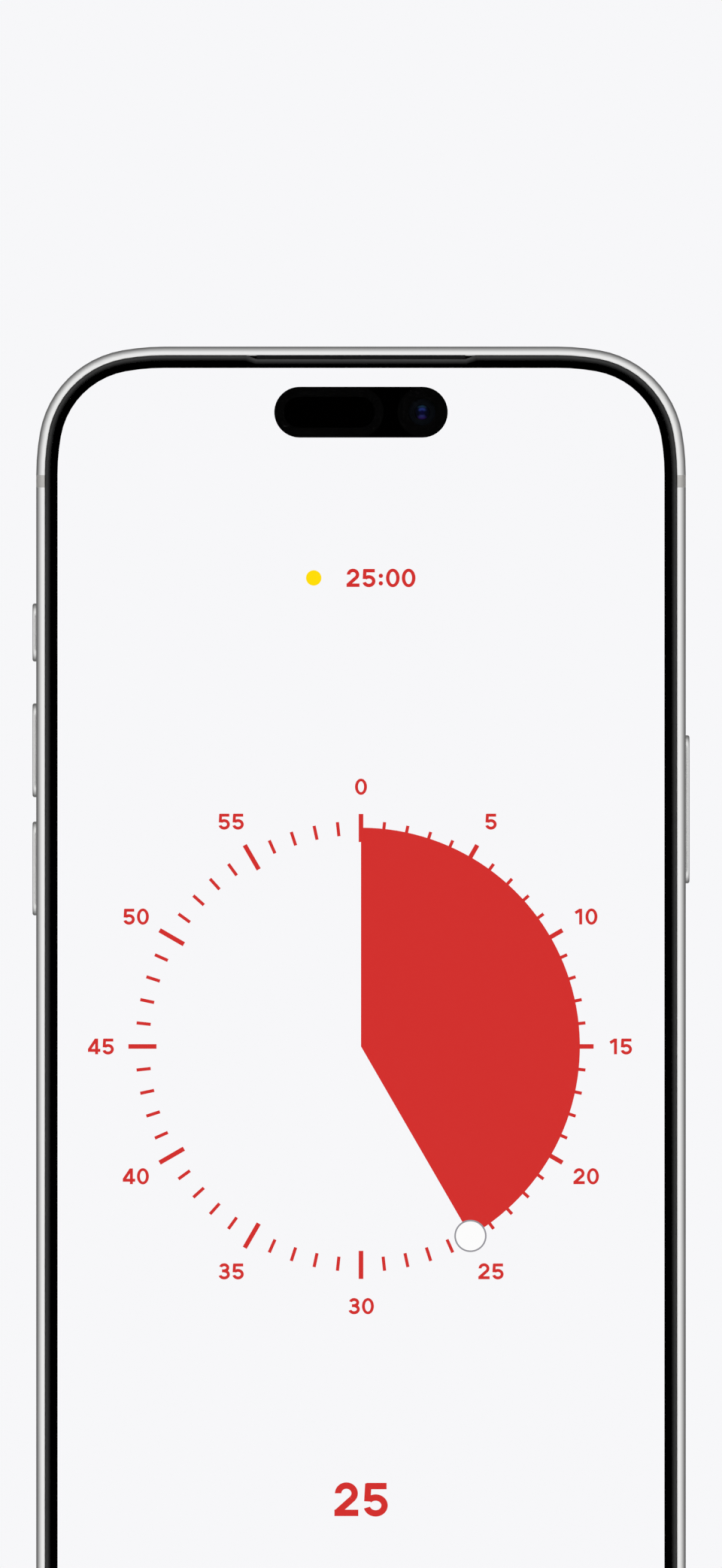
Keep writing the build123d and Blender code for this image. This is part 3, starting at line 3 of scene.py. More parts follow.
import bmesh
import bpy
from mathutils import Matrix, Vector


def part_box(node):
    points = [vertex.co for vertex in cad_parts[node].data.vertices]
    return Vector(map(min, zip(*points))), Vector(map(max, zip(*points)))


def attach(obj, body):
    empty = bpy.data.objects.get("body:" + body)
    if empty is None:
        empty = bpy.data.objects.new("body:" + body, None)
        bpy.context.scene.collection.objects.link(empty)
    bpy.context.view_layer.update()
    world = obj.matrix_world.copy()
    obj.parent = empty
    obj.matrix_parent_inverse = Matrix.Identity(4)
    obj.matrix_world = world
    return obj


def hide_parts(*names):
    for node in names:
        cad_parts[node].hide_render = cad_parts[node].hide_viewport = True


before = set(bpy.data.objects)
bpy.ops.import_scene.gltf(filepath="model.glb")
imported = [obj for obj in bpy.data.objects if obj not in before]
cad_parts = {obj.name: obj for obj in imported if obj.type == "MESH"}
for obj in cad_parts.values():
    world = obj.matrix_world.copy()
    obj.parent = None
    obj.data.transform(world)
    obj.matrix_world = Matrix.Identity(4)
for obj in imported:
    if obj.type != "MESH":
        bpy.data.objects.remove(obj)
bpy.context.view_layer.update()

# --- Studio -----------------------------------------------------------------------------------
# A level camera looks square at the glass, in a white room that is brightest in front and dim
# behind. A black flag surrounds the camera, so flat glass mirrors it and stays black.
PAPER = (0.9301, 0.9301, 0.9473)
EYE = (0.0, -0.5, 0.11072)
VIEW_HEIGHT = 0.18742
# Light of the room against the angle from the camera, in half turns.
ROOM_LIGHT = ((0.0, 0.0), (0.05, 0.0), (0.085, 1.05), (0.2, 1.12), (0.3, 0.95), (0.4, 0.66),
              (0.55, 0.34), (0.7, 0.12), (0.88, 0.12), (0.94, 0.7), (1.0, 0.7))
# Place, size and watts of each soft lamp. They are polarised, so that metal and glass show only
# the room.
LAMPS = {
    "overhead": ((0.0, -0.3, 1.1), 1.2, 0.9),
    "rear_key": ((0.5, 0.62, 0.58), 0.4, 4.6),
    "rear_fill": ((-0.5, 0.62, 0.58), 0.4, 3.2),
}
LAMP_TARGET = Vector((0.0, 0.0, 0.08))


class Wire:
    """A node's output. A sum on it adds Math nodes to its tree."""

    def __init__(self, tree, socket):
        self.tree, self.socket = tree, socket

    def __getitem__(self, name):
        """Another output of the same node."""
        return Wire(self.tree, self.socket.node.outputs[name])

    def maths(self, operation, *values):
        """A Math node's answer, from wires and numbers."""
        return self.tree.node("ShaderNodeMath", {"operation": operation}, dict(enumerate(values)))

    def __add__(self, other):
        return self.maths("ADD", self, other)

    def __sub__(self, other):
        return self.maths("SUBTRACT", self, other)

    def __rsub__(self, other):
        return self.maths("SUBTRACT", other, self)

    def __mul__(self, other):
        return self.maths("MULTIPLY", self, other)

    def __truediv__(self, other):
        return self.maths("DIVIDE", self, other)

    def __rtruediv__(self, other):
        return self.maths("DIVIDE", other, self)

    def __pow__(self, other):
        return self.maths("POWER", self, other)

    def __abs__(self):
        return self.maths("ABSOLUTE", self)

    def sine(self):
        return self.maths("SINE", self)

    def arccosine(self):
        return self.maths("ARCCOSINE", self)

    def maximum(self, other):
        return self.maths("MAXIMUM", self, other)

    def minimum(self, other):
        return self.maths("MINIMUM", self, other)

    __radd__, __rmul__ = __add__, __mul__

    def step(self, low, high):
        """0 up to low and 1 from high on, eased between."""
        span = {"Value": self, "From Min": low, "From Max": high}
        return self.tree.node("ShaderNodeMapRange", {"interpolation_type": "SMOOTHSTEP"}, span)


class Tree:
    """A node tree that is filled one node a call."""

    def __init__(self, tree):
        self.tree = tree
        tree.nodes.clear()

    def node(self, kind, settings=None, inputs=None, output=0):
        """Add a node: first its settings, then a value, a wire or a list of wires a socket."""
        node = self.tree.nodes.new(kind)
        for name, value in (settings or {}).items():
            if name == "stops":
                stops = node.color_ramp.elements
                stops.remove(stops[1])
                for i, (place, shade) in enumerate(value):
                    stop = stops.new(place) if i else stops[0]
                    stop.position, stop.color = place, (shade, shade, shade, 1)
            else:
                setattr(node, name, value)
        for name, value in (inputs or {}).items():
            socket = node.inputs[name]
            if isinstance(value, (Wire, list)):
                for wire in value if isinstance(value, list) else [value]:
                    self.tree.links.new(wire.socket, socket)
            elif socket.type == "RGBA":
                socket.default_value = (*value, 1)
            else:
                socket.default_value = value
        return Wire(self, node.outputs[output]) if node.outputs else None

    def blend(self, share, low, high):
        """Colour between low and high."""
        return self.node("ShaderNodeMix", {"data_type": "RGBA"}, {0: share, 6: low, 7: high}, 2)


camera = bpy.data.objects.new("camera", bpy.data.cameras.new("camera"))
camera.data.type = "ORTHO"
camera.data.ortho_scale = VIEW_HEIGHT
camera.location = EYE
camera.rotation_euler = (math.radians(90), 0, 0)
bpy.context.scene.collection.objects.link(camera)
bpy.context.scene.camera = camera
bpy.context.scene.view_settings.view_transform = "Standard"

for name, (place, size, watts) in LAMPS.items():
    lamp = bpy.data.objects.new(name, bpy.data.lights.new(name, "AREA"))
    lamp.data.size, lamp.data.energy = size, watts
    lamp.location = place
    lamp.visible_glossy = lamp.visible_transmission = False
    lamp.rotation_euler = (LAMP_TARGET - Vector(place)).to_track_quat("-Z", "Y").to_euler()
    bpy.context.scene.collection.objects.link(lamp)

bpy.context.scene.world = bpy.data.worlds.new("room")
bpy.context.scene.world.use_nodes = True
room = Tree(bpy.context.scene.world.node_tree)
gaze = room.node("ShaderNodeTexCoord")["Generated"]
rearward = room.node("ShaderNodeSeparateXYZ", {}, {"Vector": gaze})["Y"]
turn = (rearward * -1.0).arccosine() * (1 / math.pi)
glow = room.node("ShaderNodeValToRGB", {"stops": ROOM_LIGHT}, {"Fac": turn})
path = room.node("ShaderNodeLightPath")
seen = path["Is Camera Ray"].maximum(path["Is Transmission Ray"])
light = room.node("ShaderNodeBackground", {}, {"Color": room.blend(seen, glow, PAPER)})
room.node("ShaderNodeOutputWorld", {}, {"Surface": light})

# --- Floor ------------------------------------------------------------------------------------
# The handset stands on a wide sheet of matt white card. What the eye sees of the card is lifted
# to the paleness of the room, and the shadow stays. Metal and glass mirror only the room.
MM = 0.001
FLOOR_HALF = 1.2
FLECK = 4 * MM
FLOOR_WHITES = (0.78, 0.78, 0.79), (0.81, 0.81, 0.82)
FLOOR_LIFT = (0.06, 0.06, 0.062)
BLACK = (0.0, 0.0, 0.0)


class Finish(Tree):
    """The finish of one kind of surface, on object coordinates in metres."""

    def __init__(self, name):
        self.material = bpy.data.materials.new(name)
        self.material.use_nodes = True
        super().__init__(self.material.node_tree)
        self.place = self.node("ShaderNodeTexCoord")["Object"]
        along = self.node("ShaderNodeSeparateXYZ", {}, {"Vector": self.place})
        self.x, self.y, self.z = along["X"], along["Y"], along["Z"]

    def speckle(self, size, detail=2.0, stretch=(1, 1, 1)):
        """Noise around 0.5 whose spots are size metres wide, drawn out by stretch."""
        scale = {"Vector": self.place, "Scale": tuple(1 / s for s in stretch)}
        place = self.node("ShaderNodeMapping", {}, scale)
        spots = {"Vector": place, "Scale": 1 / size, "Detail": detail}
        return self.node("ShaderNodeTexNoise", {}, spots)

    def cells(self, size, feature="F1"):
        """Distances within random cells that are size metres wide."""
        spots = {"Vector": self.place, "Scale": 1 / size}
        return self.node("ShaderNodeTexVoronoi", {"feature": feature}, spots)

    def reach(self, centre):
        """Distance from the line along Y through centre, which is x and z."""
        return ((self.x - centre[0]) ** 2 + (self.z - centre[1]) ** 2) ** 0.5

    def grooves(self, across, pitch):
        """Ridges from 0 to 1, one each pitch along across."""
        return 0.5 + 0.5 * (across * (2 * math.pi / pitch)).sine()

    def relief(self, height, depth):
        """Surface bent by height, whose range of 1 is depth metres."""
        return self.node("ShaderNodeBump", {}, {"Height": height, "Distance": depth})

    def coat(self, sockets):
        """Shade with the given sockets and end the tree."""
        shader = self.node("ShaderNodeBsdfPrincipled", {}, sockets)
        self.node("ShaderNodeOutputMaterial", {}, {"Surface": shader})
        return self.material


card = Finish("white_card")
fleck = card.speckle(FLECK)
seen = card.node("ShaderNodeLightPath")["Is Camera Ray"]
corners = [(x * FLOOR_HALF, y * FLOOR_HALF, 0.0) for x, y in ((-1, -1), (1, -1), (1, 1), (-1, 1))]
floor = bpy.data.objects.new("floor", bpy.data.meshes.new("floor"))
floor.data.from_pydata(corners, [], [(0, 1, 2, 3)])
floor.data.materials.append(card.coat({
    "Base Color": card.blend(fleck, *FLOOR_WHITES),
    "Roughness": 0.9,
    "Specular IOR Level": 0.1,
    "Emission Color": card.blend(seen, BLACK, FLOOR_LIFT),
    "Emission Strength": 1.0,
}))
floor.visible_glossy = False
bpy.context.scene.collection.objects.link(floor)

# --- Band -------------------------------------------------------------------------------------
# The frame is one ring of titanium alloy, machined, blasted with fine beads and parted by the
# antenna breaks. Pockets and hands have rubbed its two rounded edges a little smoother.
MICRON = 0.001 * MM
TITANIUM = (0.8, 0.8, 0.795)
BEAD, BEAD_DEPTH = 90 * MICRON, 2 * MICRON
BLAST_CLOUD = 9 * MM
EDGE_FROM, EDGE_TO = 3.0 * MM, 4.1 * MM


def tone(shade, share):
    """A shade made lighter or darker."""
    return tuple(min(part * share, 1.0) for part in shade)


def dress(material, *names):
    """Put the material on CAD nodes."""
    for name in names:
        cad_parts[name].material_slots[0].material = material


def blasted(name, shade):
    """Bead-blasted metal: fine dimples and faint clouds, smoother along the rounded edges."""
    metal = Finish(name)
    dimples = metal.speckle(BEAD, detail=3.0)
    cloud = metal.speckle(BLAST_CLOUD, detail=3.0)
    rubbed = abs(metal.y).step(EDGE_FROM, EDGE_TO)
    return metal.coat({
        "Base Color": metal.blend(cloud, tone(shade, 0.97), tone(shade, 1.03)),
        "Metallic": 1.0,
        "Roughness": 0.3 + 0.12 * cloud - 0.05 * rubbed,
        "Normal": metal.relief(dimples, BEAD_DEPTH),
    })


dress(blasted("blasted_titanium", TITANIUM), "band")

# --- Antenna breaks ---------------------------------------------------------------------------
# Four bars of glass-filled plastic are moulded through the band so that radio waves pass. They
# are machined flush with the metal and are a shade greyer.
BREAK_GREY = (0.53, 0.52, 0.5)
MOULD_CLOUD = 4 * MM


def moulded(name, shade, roughness=0.55, grain=250 * MICRON, depth=4 * MICRON, pearl=0.0,
            gloss=0.5):
    """Moulded plastic: a fine spark-eroded grain, with slow clouds in its colour and gloss."""
    plastic = Finish(name)
    pits = plastic.speckle(grain, detail=3.0)
    cloud = plastic.speckle(MOULD_CLOUD)
    return plastic.coat({
        "Base Color": plastic.blend(cloud, tone(shade, 0.88), tone(shade, 1.12)),
        "Metallic": pearl,
        "Specular IOR Level": gloss,
        "Roughness": roughness + 0.16 * (cloud - 0.5),
        "Normal": plastic.relief(pits, depth),
    })


dress(moulded("break_plastic", BREAK_GREY, roughness=0.34, grain=100 * MICRON, depth=0.2 * MICRON,
              pearl=0.5), "antenna_breaks")

# --- Chassis and brackets ---------------------------------------------------------------------
# The chassis is a plate of aluminium alloy, skimmed with a wide face cutter and welded into the
# band. Small brackets, clips and cages of stamped steel hold the switches, buttons and card.
CUTTER_CENTRE = (0.3, 0.08)
CUTTER_PITCH, CUTTER_DEPTH = 0.7 * MM, 4 * MICRON
SKIMMED_SHADES = (0.5, 0.505, 0.51), (0.6, 0.6, 0.605)
STAMPED_STEEL = (0.5, 0.49, 0.47)
SPRING_STEEL = (0.56, 0.53, 0.47)
SCRATCH, SCRATCH_DEPTH = 60 * MICRON, 2 * MICRON
OIL_STAIN = 3 * MM

skimmed = Finish("skimmed_alloy")
arcs = skimmed.grooves(skimmed.reach(CUTTER_CENTRE), CUTTER_PITCH)
cloud = skimmed.speckle(12 * MM, detail=3.0)
dress(skimmed.coat({
    "Base Color": skimmed.blend(cloud, *SKIMMED_SHADES),
    "Metallic": 1.0,
    "Roughness": 0.26 + 0.1 * arcs + 0.1 * cloud,
    "Normal": skimmed.relief(arcs, CUTTER_DEPTH),
}), "chassis_plate")


def rolled(name, shade, roughness=0.28, stretch=(1, 1, 30)):
    """Rolled metal strip: long scratches one way, and faint stains from the press oil."""
    metal = Finish(name)
    scratches = metal.speckle(SCRATCH, stretch=stretch)
    stain = metal.speckle(OIL_STAIN, detail=4.0)
    return metal.coat({
        "Base Color": metal.blend(stain, tone(shade, 0.85), tone(shade, 1.1)),
        "Metallic": 1.0,
        "Roughness": roughness + 0.14 * scratches + 0.08 * stain,
        "Normal": metal.relief(scratches, SCRATCH_DEPTH),
    })


dress(rolled("stamped_steel", STAMPED_STEEL), "switch_brackets", "card_reader", "board_screws")
dress(rolled("spring_strip", SPRING_STEEL, roughness=0.2), "action_clip", "volume_up_clip",
      "volume_down_clip", "side_clip", "button_switches")

# --- Battery ----------------------------------------------------------------------------------
# The cell is a soft pouch of laminated foil in a thin black wrap, pulled tight round its edges,
# so fine wrinkles run in from them.
WRAP_BLACKS = (0.012, 0.012, 0.013), (0.028, 0.028, 0.03)
WRINKLE, WRINKLE_DEPTH = 4 * MM, 120 * MICRON
ORANGE_PEEL = 0.4 * MM

battery_wrap = Finish("battery_wrap")
wrinkles = battery_wrap.speckle(WRINKLE, detail=3.0, stretch=(3, 1, 1))
orange_peel = battery_wrap.speckle(ORANGE_PEEL)
dress(battery_wrap.coat({
    "Base Color": battery_wrap.blend(wrinkles, *WRAP_BLACKS),
    "Roughness": 0.3 + 0.14 * wrinkles,
    "Normal": battery_wrap.relief(wrinkles + 0.1 * orange_peel, WRINKLE_DEPTH),
}), "battery")

# --- Logic board ------------------------------------------------------------------------------
# The board is dark solder-masked laminate with fine copper tracks under the mask and gilt vias.
# Its chips are black moulded resin, and tinned cans cover most of them.
TRACK_PITCH, TRACK_BEND, TRACK_DEPTH = 0.5 * MM, 1.6 * MM, 20 * MICRON
TRACK_PATCH = 2.5 * MM
VIA_PITCH = 1.1 * MM
TRACK_EDGE, PATCH_EDGE, VIA_EDGE = (0.55, 0.7), (0.45, 0.5), (0.12, 0.15)
MASK_GREEN, TRACK_GREEN = (0.008, 0.02, 0.016), (0.02, 0.055, 0.04)
VIA_GILT = (0.75, 0.5, 0.2)
CHIP_BLACK = (0.02, 0.02, 0.021)
TIN_SHADES = (0.6, 0.6, 0.59), (0.74, 0.74, 0.73)
TIN_FROST, FROST_DEPTH = 0.6 * MM, 10 * MICRON
TIN_SPANGLE = 1.2 * MM

mask = Finish("solder_mask")
bend = mask.speckle(4 * MM, detail=0.0)
lines = mask.grooves(mask.x + TRACK_BEND * bend, TRACK_PITCH).step(*TRACK_EDGE)
tracks = lines * mask.speckle(TRACK_PATCH).step(*PATCH_EDGE)
vias = 1 - mask.cells(VIA_PITCH).step(*VIA_EDGE)
laminate = mask.blend(tracks, MASK_GREEN, TRACK_GREEN)
dress(mask.coat({
    "Base Color": mask.blend(vias, laminate, VIA_GILT),
    "Metallic": vias,
    "Roughness": 0.3 + 0.1 * bend,
    "Normal": mask.relief(tracks + vias, TRACK_DEPTH),
}), "logic_board")
dress(moulded("chip_resin", CHIP_BLACK, roughness=0.6, grain=80 * MICRON), "board_chips")

tinned = Finish("tinned_can")
frost = tinned.speckle(TIN_FROST, detail=4.0)
spangle = tinned.cells(TIN_SPANGLE)
dress(tinned.coat({
    "Base Color": tinned.blend(spangle, *TIN_SHADES),
    "Metallic": 1.0,
    "Roughness": 0.24 + 0.18 * frost,
    "Normal": tinned.relief(frost, FROST_DEPTH),
}), "shield_cans")

# --- Ribbons ----------------------------------------------------------------------------------
# Flexible ribbons of brown-black film carry rows of flat copper tracks from the board to the
# screen, port and speakers. They are bonded down with thin tape.
FILM_BROWN, COPPER_BROWN = (0.02, 0.014, 0.01), (0.09, 0.045, 0.02)
FOIL_PITCH, FOIL_DEPTH = 0.4 * MM, 12 * MICRON
FOIL_EDGE = (0.4, 0.6)

ribbon = Finish("ribbon_film")
tracks = ribbon.grooves(ribbon.x, FOIL_PITCH).step(*FOIL_EDGE)
cloud = ribbon.speckle(3 * MM)
dress(ribbon.coat({
    "Base Color": ribbon.blend(tracks * 0.7, FILM_BROWN, COPPER_BROWN),
    "Roughness": 0.34 + 0.14 * cloud,
    "Normal": ribbon.relief(tracks, FOIL_DEPTH),
}), "flex_ribbons")

# --- Charging coil ----------------------------------------------------------------------------
# Enamelled copper wire is wound into a flat spiral and bonded to a cracked sheet of ferrite. A
# ring of nickel-plated magnets round it holds chargers in place.
COIL_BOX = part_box("charging_coil")
COIL = {
    "Turns": 24.0,
    "Inner radius": 9.8 * MM,
    "Outer radius": 21.25 * MM,
    "Wire radius": 0.14 * MM,
    "Centre": (0.0, (COIL_BOX[0].y + COIL_BOX[1].y) / 2, (COIL_BOX[0].z + COIL_BOX[1].z) / 2),
}
COIL_SIDES = 6
COIL_STEPS = 56
COPPER_SHADES = (0.62, 0.24, 0.1), (0.78, 0.36, 0.17)
FERRITE_GREY, CRACK_BLACK = (0.045, 0.044, 0.046), (0.012, 0.012, 0.013)
CRACK_PITCH, CRACK_DEPTH = 2.1 * MM, 30 * MICRON
CRACK_EDGE = (0.02, 0.06)
NICKEL_SHADES = (0.6, 0.57, 0.52), (0.72, 0.69, 0.64)
BLOOM, BLOOM_DEPTH = 2 * MM, 4 * MICRON


class Growth(Tree):
    """A Geometry Nodes tree with named sizes, which is turned into a plain mesh."""

    def __init__(self, name, sizes):
        self.name, self.sizes = name, sizes
        super().__init__(bpy.data.node_groups.new(name, "GeometryNodeTree"))
        sockets = self.tree.interface
        for size, value in sizes.items():
            kind = "NodeSocketVector" if isinstance(value, tuple) else "NodeSocketFloat"
            sockets.new_socket(size, in_out="INPUT", socket_type=kind)
        sockets.new_socket("Geometry", in_out="OUTPUT", socket_type="NodeSocketGeometry")
        self.given = self.node("NodeGroupInput")

    def piece(self, shape, material):
        """Realize and paint the shape, and give it back as an object of plain mesh."""
        real = self.node("GeometryNodeRealizeInstances", {}, {"Geometry": shape})
        painted = self.node("GeometryNodeSetMaterial", {}, {"Geometry": real, "Material": material})
        self.node("NodeGroupOutput", {}, {"Geometry": painted})
        grown = bpy.data.objects.new(self.name, bpy.data.meshes.new(self.name))
        bpy.context.scene.collection.objects.link(grown)
        grower = grown.modifiers.new(self.name, "NODES")
        grower.node_group = self.tree
        for socket in self.tree.interface.items_tree:
            if socket.in_out == "INPUT":
                grower[socket.identifier] = self.sizes[socket.name]
        bpy.context.view_layer.update()
        ready = grown.evaluated_get(bpy.context.evaluated_depsgraph_get())
        mesh = bpy.data.meshes.new_from_object(ready)
        grown.modifiers.clear()
        grown.data = mesh
        return grown


enamel = Finish("copper_enamel")
cloud = enamel.speckle(3 * MM, detail=3.0)
wire_finish = enamel.coat({
    "Base Color": enamel.blend(cloud, *COPPER_SHADES),
    "Metallic": 1.0,
    "Roughness": 0.22 + 0.16 * cloud,
})
dress(wire_finish, "charging_coil")

winding = Growth("coil_winding", COIL)
spiral = winding.node("GeometryNodeCurveSpiral", {}, {
    "Resolution": COIL_STEPS, "Rotations": winding.given["Turns"], "Height": 0.0,
    "Start Radius": winding.given["Inner radius"], "End Radius": winding.given["Outer radius"]})
section = winding.node("GeometryNodeCurvePrimitiveCircle", {}, {
    "Resolution": COIL_SIDES, "Radius": winding.given["Wire radius"]})
wire = winding.node("GeometryNodeCurveToMesh", {}, {
    "Curve": spiral, "Profile Curve": section, "Fill Caps": True})
laid = winding.node("GeometryNodeTransform", {}, {
    "Geometry": wire, "Translation": winding.given["Centre"],
    "Rotation": (math.radians(90), 0.0, 0.0)})
coil = winding.piece(laid, wire_finish)
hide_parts("charging_coil")
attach(coil, "body")

ferrite = Finish("ferrite_sheet")
cracks = 1 - ferrite.cells(CRACK_PITCH, "DISTANCE_TO_EDGE").step(*CRACK_EDGE)
dust = ferrite.speckle(0.3 * MM, detail=3.0)
dress(ferrite.coat({
    "Base Color": ferrite.blend(cracks, FERRITE_GREY, CRACK_BLACK),
    "Roughness": 0.5 + 0.2 * dust,
    "Normal": ferrite.relief(1 - cracks, CRACK_DEPTH),
}), "coil_ferrite")

nickel = Finish("nickel_plate")
bloom = nickel.speckle(BLOOM, detail=4.0)
dress(nickel.coat({
    "Base Color": nickel.blend(bloom, *NICKEL_SHADES),
    "Metallic": 1.0,
    "Roughness": 0.14 + 0.2 * bloom,
    "Normal": nickel.relief(bloom, BLOOM_DEPTH),
}), "magnet_ring")

# --- Haptic motor -----------------------------------------------------------------------------
# A sintered tungsten weight slides between two bent strips of spring steel inside a welded steel
# case, and shakes the handset.
DRAWN_STEEL = (0.55, 0.55, 0.54)
TUNGSTEN_SHADES = (0.2, 0.2, 0.205), (0.28, 0.28, 0.29)
GRIT, GRIT_DEPTH = 0.12 * MM, 12 * MICRON
STRAW, STEEL_GREY = (0.42, 0.34, 0.22), (0.4, 0.4, 0.42)

dress(rolled("drawn_case", DRAWN_STEEL, roughness=0.24, stretch=(30, 1, 1)), "haptic_case")

sintered = Finish("sintered_tungsten")
grit = sintered.speckle(GRIT, detail=4.0)
cloud = sintered.speckle(4 * MM)
dress(sintered.coat({
    "Base Color": sintered.blend(cloud, *TUNGSTEN_SHADES),
    "Metallic": 1.0,
    "Roughness": 0.42 + 0.2 * grit,
    "Normal": sintered.relief(grit, GRIT_DEPTH),
}), "haptic_mass")

tempered = Finish("tempered_strip")
heat = tempered.speckle(6 * MM, detail=1.0)
scratches = tempered.speckle(SCRATCH, stretch=(1, 1, 30))
dress(tempered.coat({
    "Base Color": tempered.blend(heat, STRAW, STEEL_GREY),
    "Metallic": 1.0,
    "Roughness": 0.2 + 0.15 * scratches,
    "Normal": tempered.relief(scratches, SCRATCH_DEPTH),
}), "haptic_springs")

# --- Speakers ---------------------------------------------------------------------------------
# The loudspeaker has a moulded case and a pressed film diaphragm with a ribbed surround. The
# earpiece speaker is a smaller one. Woven steel mesh keeps dust out of all the openings. The gaps
# in its weave are painted near black, a painted shade for the dark behind them.
SPEAKER_BLACK = (0.018, 0.018, 0.019)
CONE_SHADES = (0.035, 0.032, 0.028), (0.06, 0.055, 0.048)
RIB_PITCH, RIB_DEPTH = 1.1 * MM, 50 * MICRON
MESH_GREY, HOLE_PAINTED_SHADE = (0.012, 0.012, 0.0125), (0.001, 0.001, 0.001)
WEAVE, WEAVE_DEPTH = 0.12 * MM, 15 * MICRON
HOLE_EDGE = (0.35, 0.6)


def middle(node):
    """Where the line along Y through the middle of a CAD node runs, as x and z."""
    low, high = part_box(node)
    return (low.x + high.x) / 2, (low.z + high.z) / 2


dress(moulded("speaker_plastic", SPEAKER_BLACK, roughness=0.52), "loudspeaker_case",
      "earpiece_speaker")

film = Finish("pressed_film")
ribs = film.grooves(film.reach(middle("loudspeaker_cone")), RIB_PITCH)
cloud = film.speckle(2 * MM)
dress(film.coat({
    "Base Color": film.blend(cloud, *CONE_SHADES),
    "Roughness": 0.24 + 0.12 * cloud,
    "Normal": film.relief(ribs, RIB_DEPTH),
}), "loudspeaker_cone")

woven = Finish("woven_mesh")
warp = woven.grooves(woven.x, WEAVE)
weft = woven.grooves(woven.z + woven.y, WEAVE)
# Painted shade: the gaps between warp and weft are coloured near black for the dark seen through
# them.
painted_hole_shade = ((1 - warp) * (1 - weft)).step(*HOLE_EDGE)
dress(woven.coat({
    "Base Color": woven.blend(painted_hole_shade, MESH_GREY, HOLE_PAINTED_SHADE),
    "Specular IOR Level": 0.08,
    "Roughness": 0.5 + 0.1 * warp,
    "Normal": woven.relief(warp + weft, WEAVE_DEPTH),
}), "sound_meshes")

# --- Charging port ----------------------------------------------------------------------------
# A deep-drawn steel shell stands round a moulded tongue. Twelve gilt contacts lie in each face of
# the tongue, and turn down into it at their tips.
FACE_CONTACTS = 12
CONTACT_STEPS = 8
TIP_RISE = 0.7 * MM  # from the tongue's end up to the contacts' tips
CONTACTS = {
    "Pitch": 0.5 * MM,
    "Width": 0.26 * MM,
    "Thickness": 0.05 * MM,
    "Length": 3.6 * MM,
    "Half tongue": 0.35 * MM,
    "Mouth": (0.0, 0.0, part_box("port_tongue")[0].z + TIP_RISE),
}
PORT_BLACK = (0.01, 0.01, 0.011)
GILT_SHADES = (0.8, 0.55, 0.22), (0.95, 0.7, 0.32)

dress(rolled("drawn_steel", DRAWN_STEEL, roughness=0.22), "port_shell")
dress(moulded("port_resin", PORT_BLACK, roughness=0.45, grain=100 * MICRON, depth=2 * MICRON),
      "port_tongue")

gilt = Finish("gilt_contact")
wear = gilt.speckle(0.4 * MM, detail=3.0)
contact_finish = gilt.coat({
    "Base Color": gilt.blend(wear, *GILT_SHADES),
    "Metallic": 1.0,
    "Roughness": 0.18 + 0.15 * wear,
})

comb = Growth("port_contacts", CONTACTS)
width, thickness, length = comb.given["Width"], comb.given["Thickness"], comb.given["Length"]
# The leaf rises from its turned-down tip and then runs straight up the tongue's face.
leaf_points = [comb.node("ShaderNodeCombineXYZ", {}, {"Y": y, "Z": z}) for y, z in (
    (thickness * -1.0, 0.0), (0.0, length * 0.1), (0.0, length * 0.4), (0.0, length))]
leaf = comb.node("GeometryNodeCurvePrimitiveBezierSegment", {"mode": "POSITION"}, {
    "Resolution": CONTACT_STEPS, "Start": leaf_points[0], "Start Handle": leaf_points[1],
    "End Handle": leaf_points[2], "End": leaf_points[3]})
strip = comb.node("GeometryNodeCurvePrimitiveQuadrilateral", {"mode": "RECTANGLE"}, {
    "Width": width, "Height": thickness})
blade = comb.node("GeometryNodeCurveToMesh", {}, {
    "Curve": leaf, "Profile Curve": strip, "Fill Caps": True})
step = comb.node("ShaderNodeCombineXYZ", {}, {"X": comb.given["Pitch"]})
first = comb.node("ShaderNodeCombineXYZ", {}, {
    "X": comb.given["Pitch"] * (-(FACE_CONTACTS - 1) / 2)})
row = comb.node("GeometryNodeMeshLine", {"mode": "OFFSET", "count_mode": "TOTAL"}, {
    "Count": FACE_CONTACTS, "Start Location": first, "Offset": step})
teeth = comb.node("GeometryNodeInstanceOnPoints", {}, {"Points": row, "Instance": blade})
out = comb.node("ShaderNodeCombineXYZ", {}, {"Y": comb.given["Half tongue"]})
rear = comb.node("GeometryNodeTransform", {}, {"Geometry": teeth, "Translation": out})
front = comb.node("GeometryNodeTransform", {}, {"Geometry": rear, "Rotation": (0.0, 0.0, math.pi)})
both = comb.node("GeometryNodeJoinGeometry", {}, {"Geometry": [rear, front]})
seated = comb.node("GeometryNodeTransform", {}, {
    "Geometry": both, "Translation": comb.given["Mouth"]})
contacts = comb.piece(seated, contact_finish)
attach(contacts, "body")

# --- Bottom screws ----------------------------------------------------------------------------
# Two small machine screws beside the port clamp the screen's frame to the band. Their heads are
# turned, with a driven recess.
SCREWS_LOW, SCREWS_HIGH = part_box("bottom_screws")
HEAD_RADIUS = (SCREWS_HIGH.y - SCREWS_LOW.y) / 2
SCREW_X = (SCREWS_HIGH.x - SCREWS_LOW.x) / 2 - HEAD_RADIUS
SCREW_SHADES = (0.6, 0.6, 0.595), (0.72, 0.72, 0.71)
TURNING, TURNING_DEPTH = 60 * MICRON, 2 * MICRON

facing = Finish("turned_screw")
swirl = ((abs(facing.x) - SCREW_X) ** 2 + facing.y ** 2) ** 0.5
rings = facing.grooves(swirl, TURNING)
cloud = facing.speckle(0.8 * MM)
dress(facing.coat({
    "Base Color": facing.blend(cloud, *SCREW_SHADES),
    "Metallic": 1.0,
    "Roughness": 0.2 + 0.12 * cloud,
    "Normal": facing.relief(rings, TURNING_DEPTH),
}), "bottom_screws")

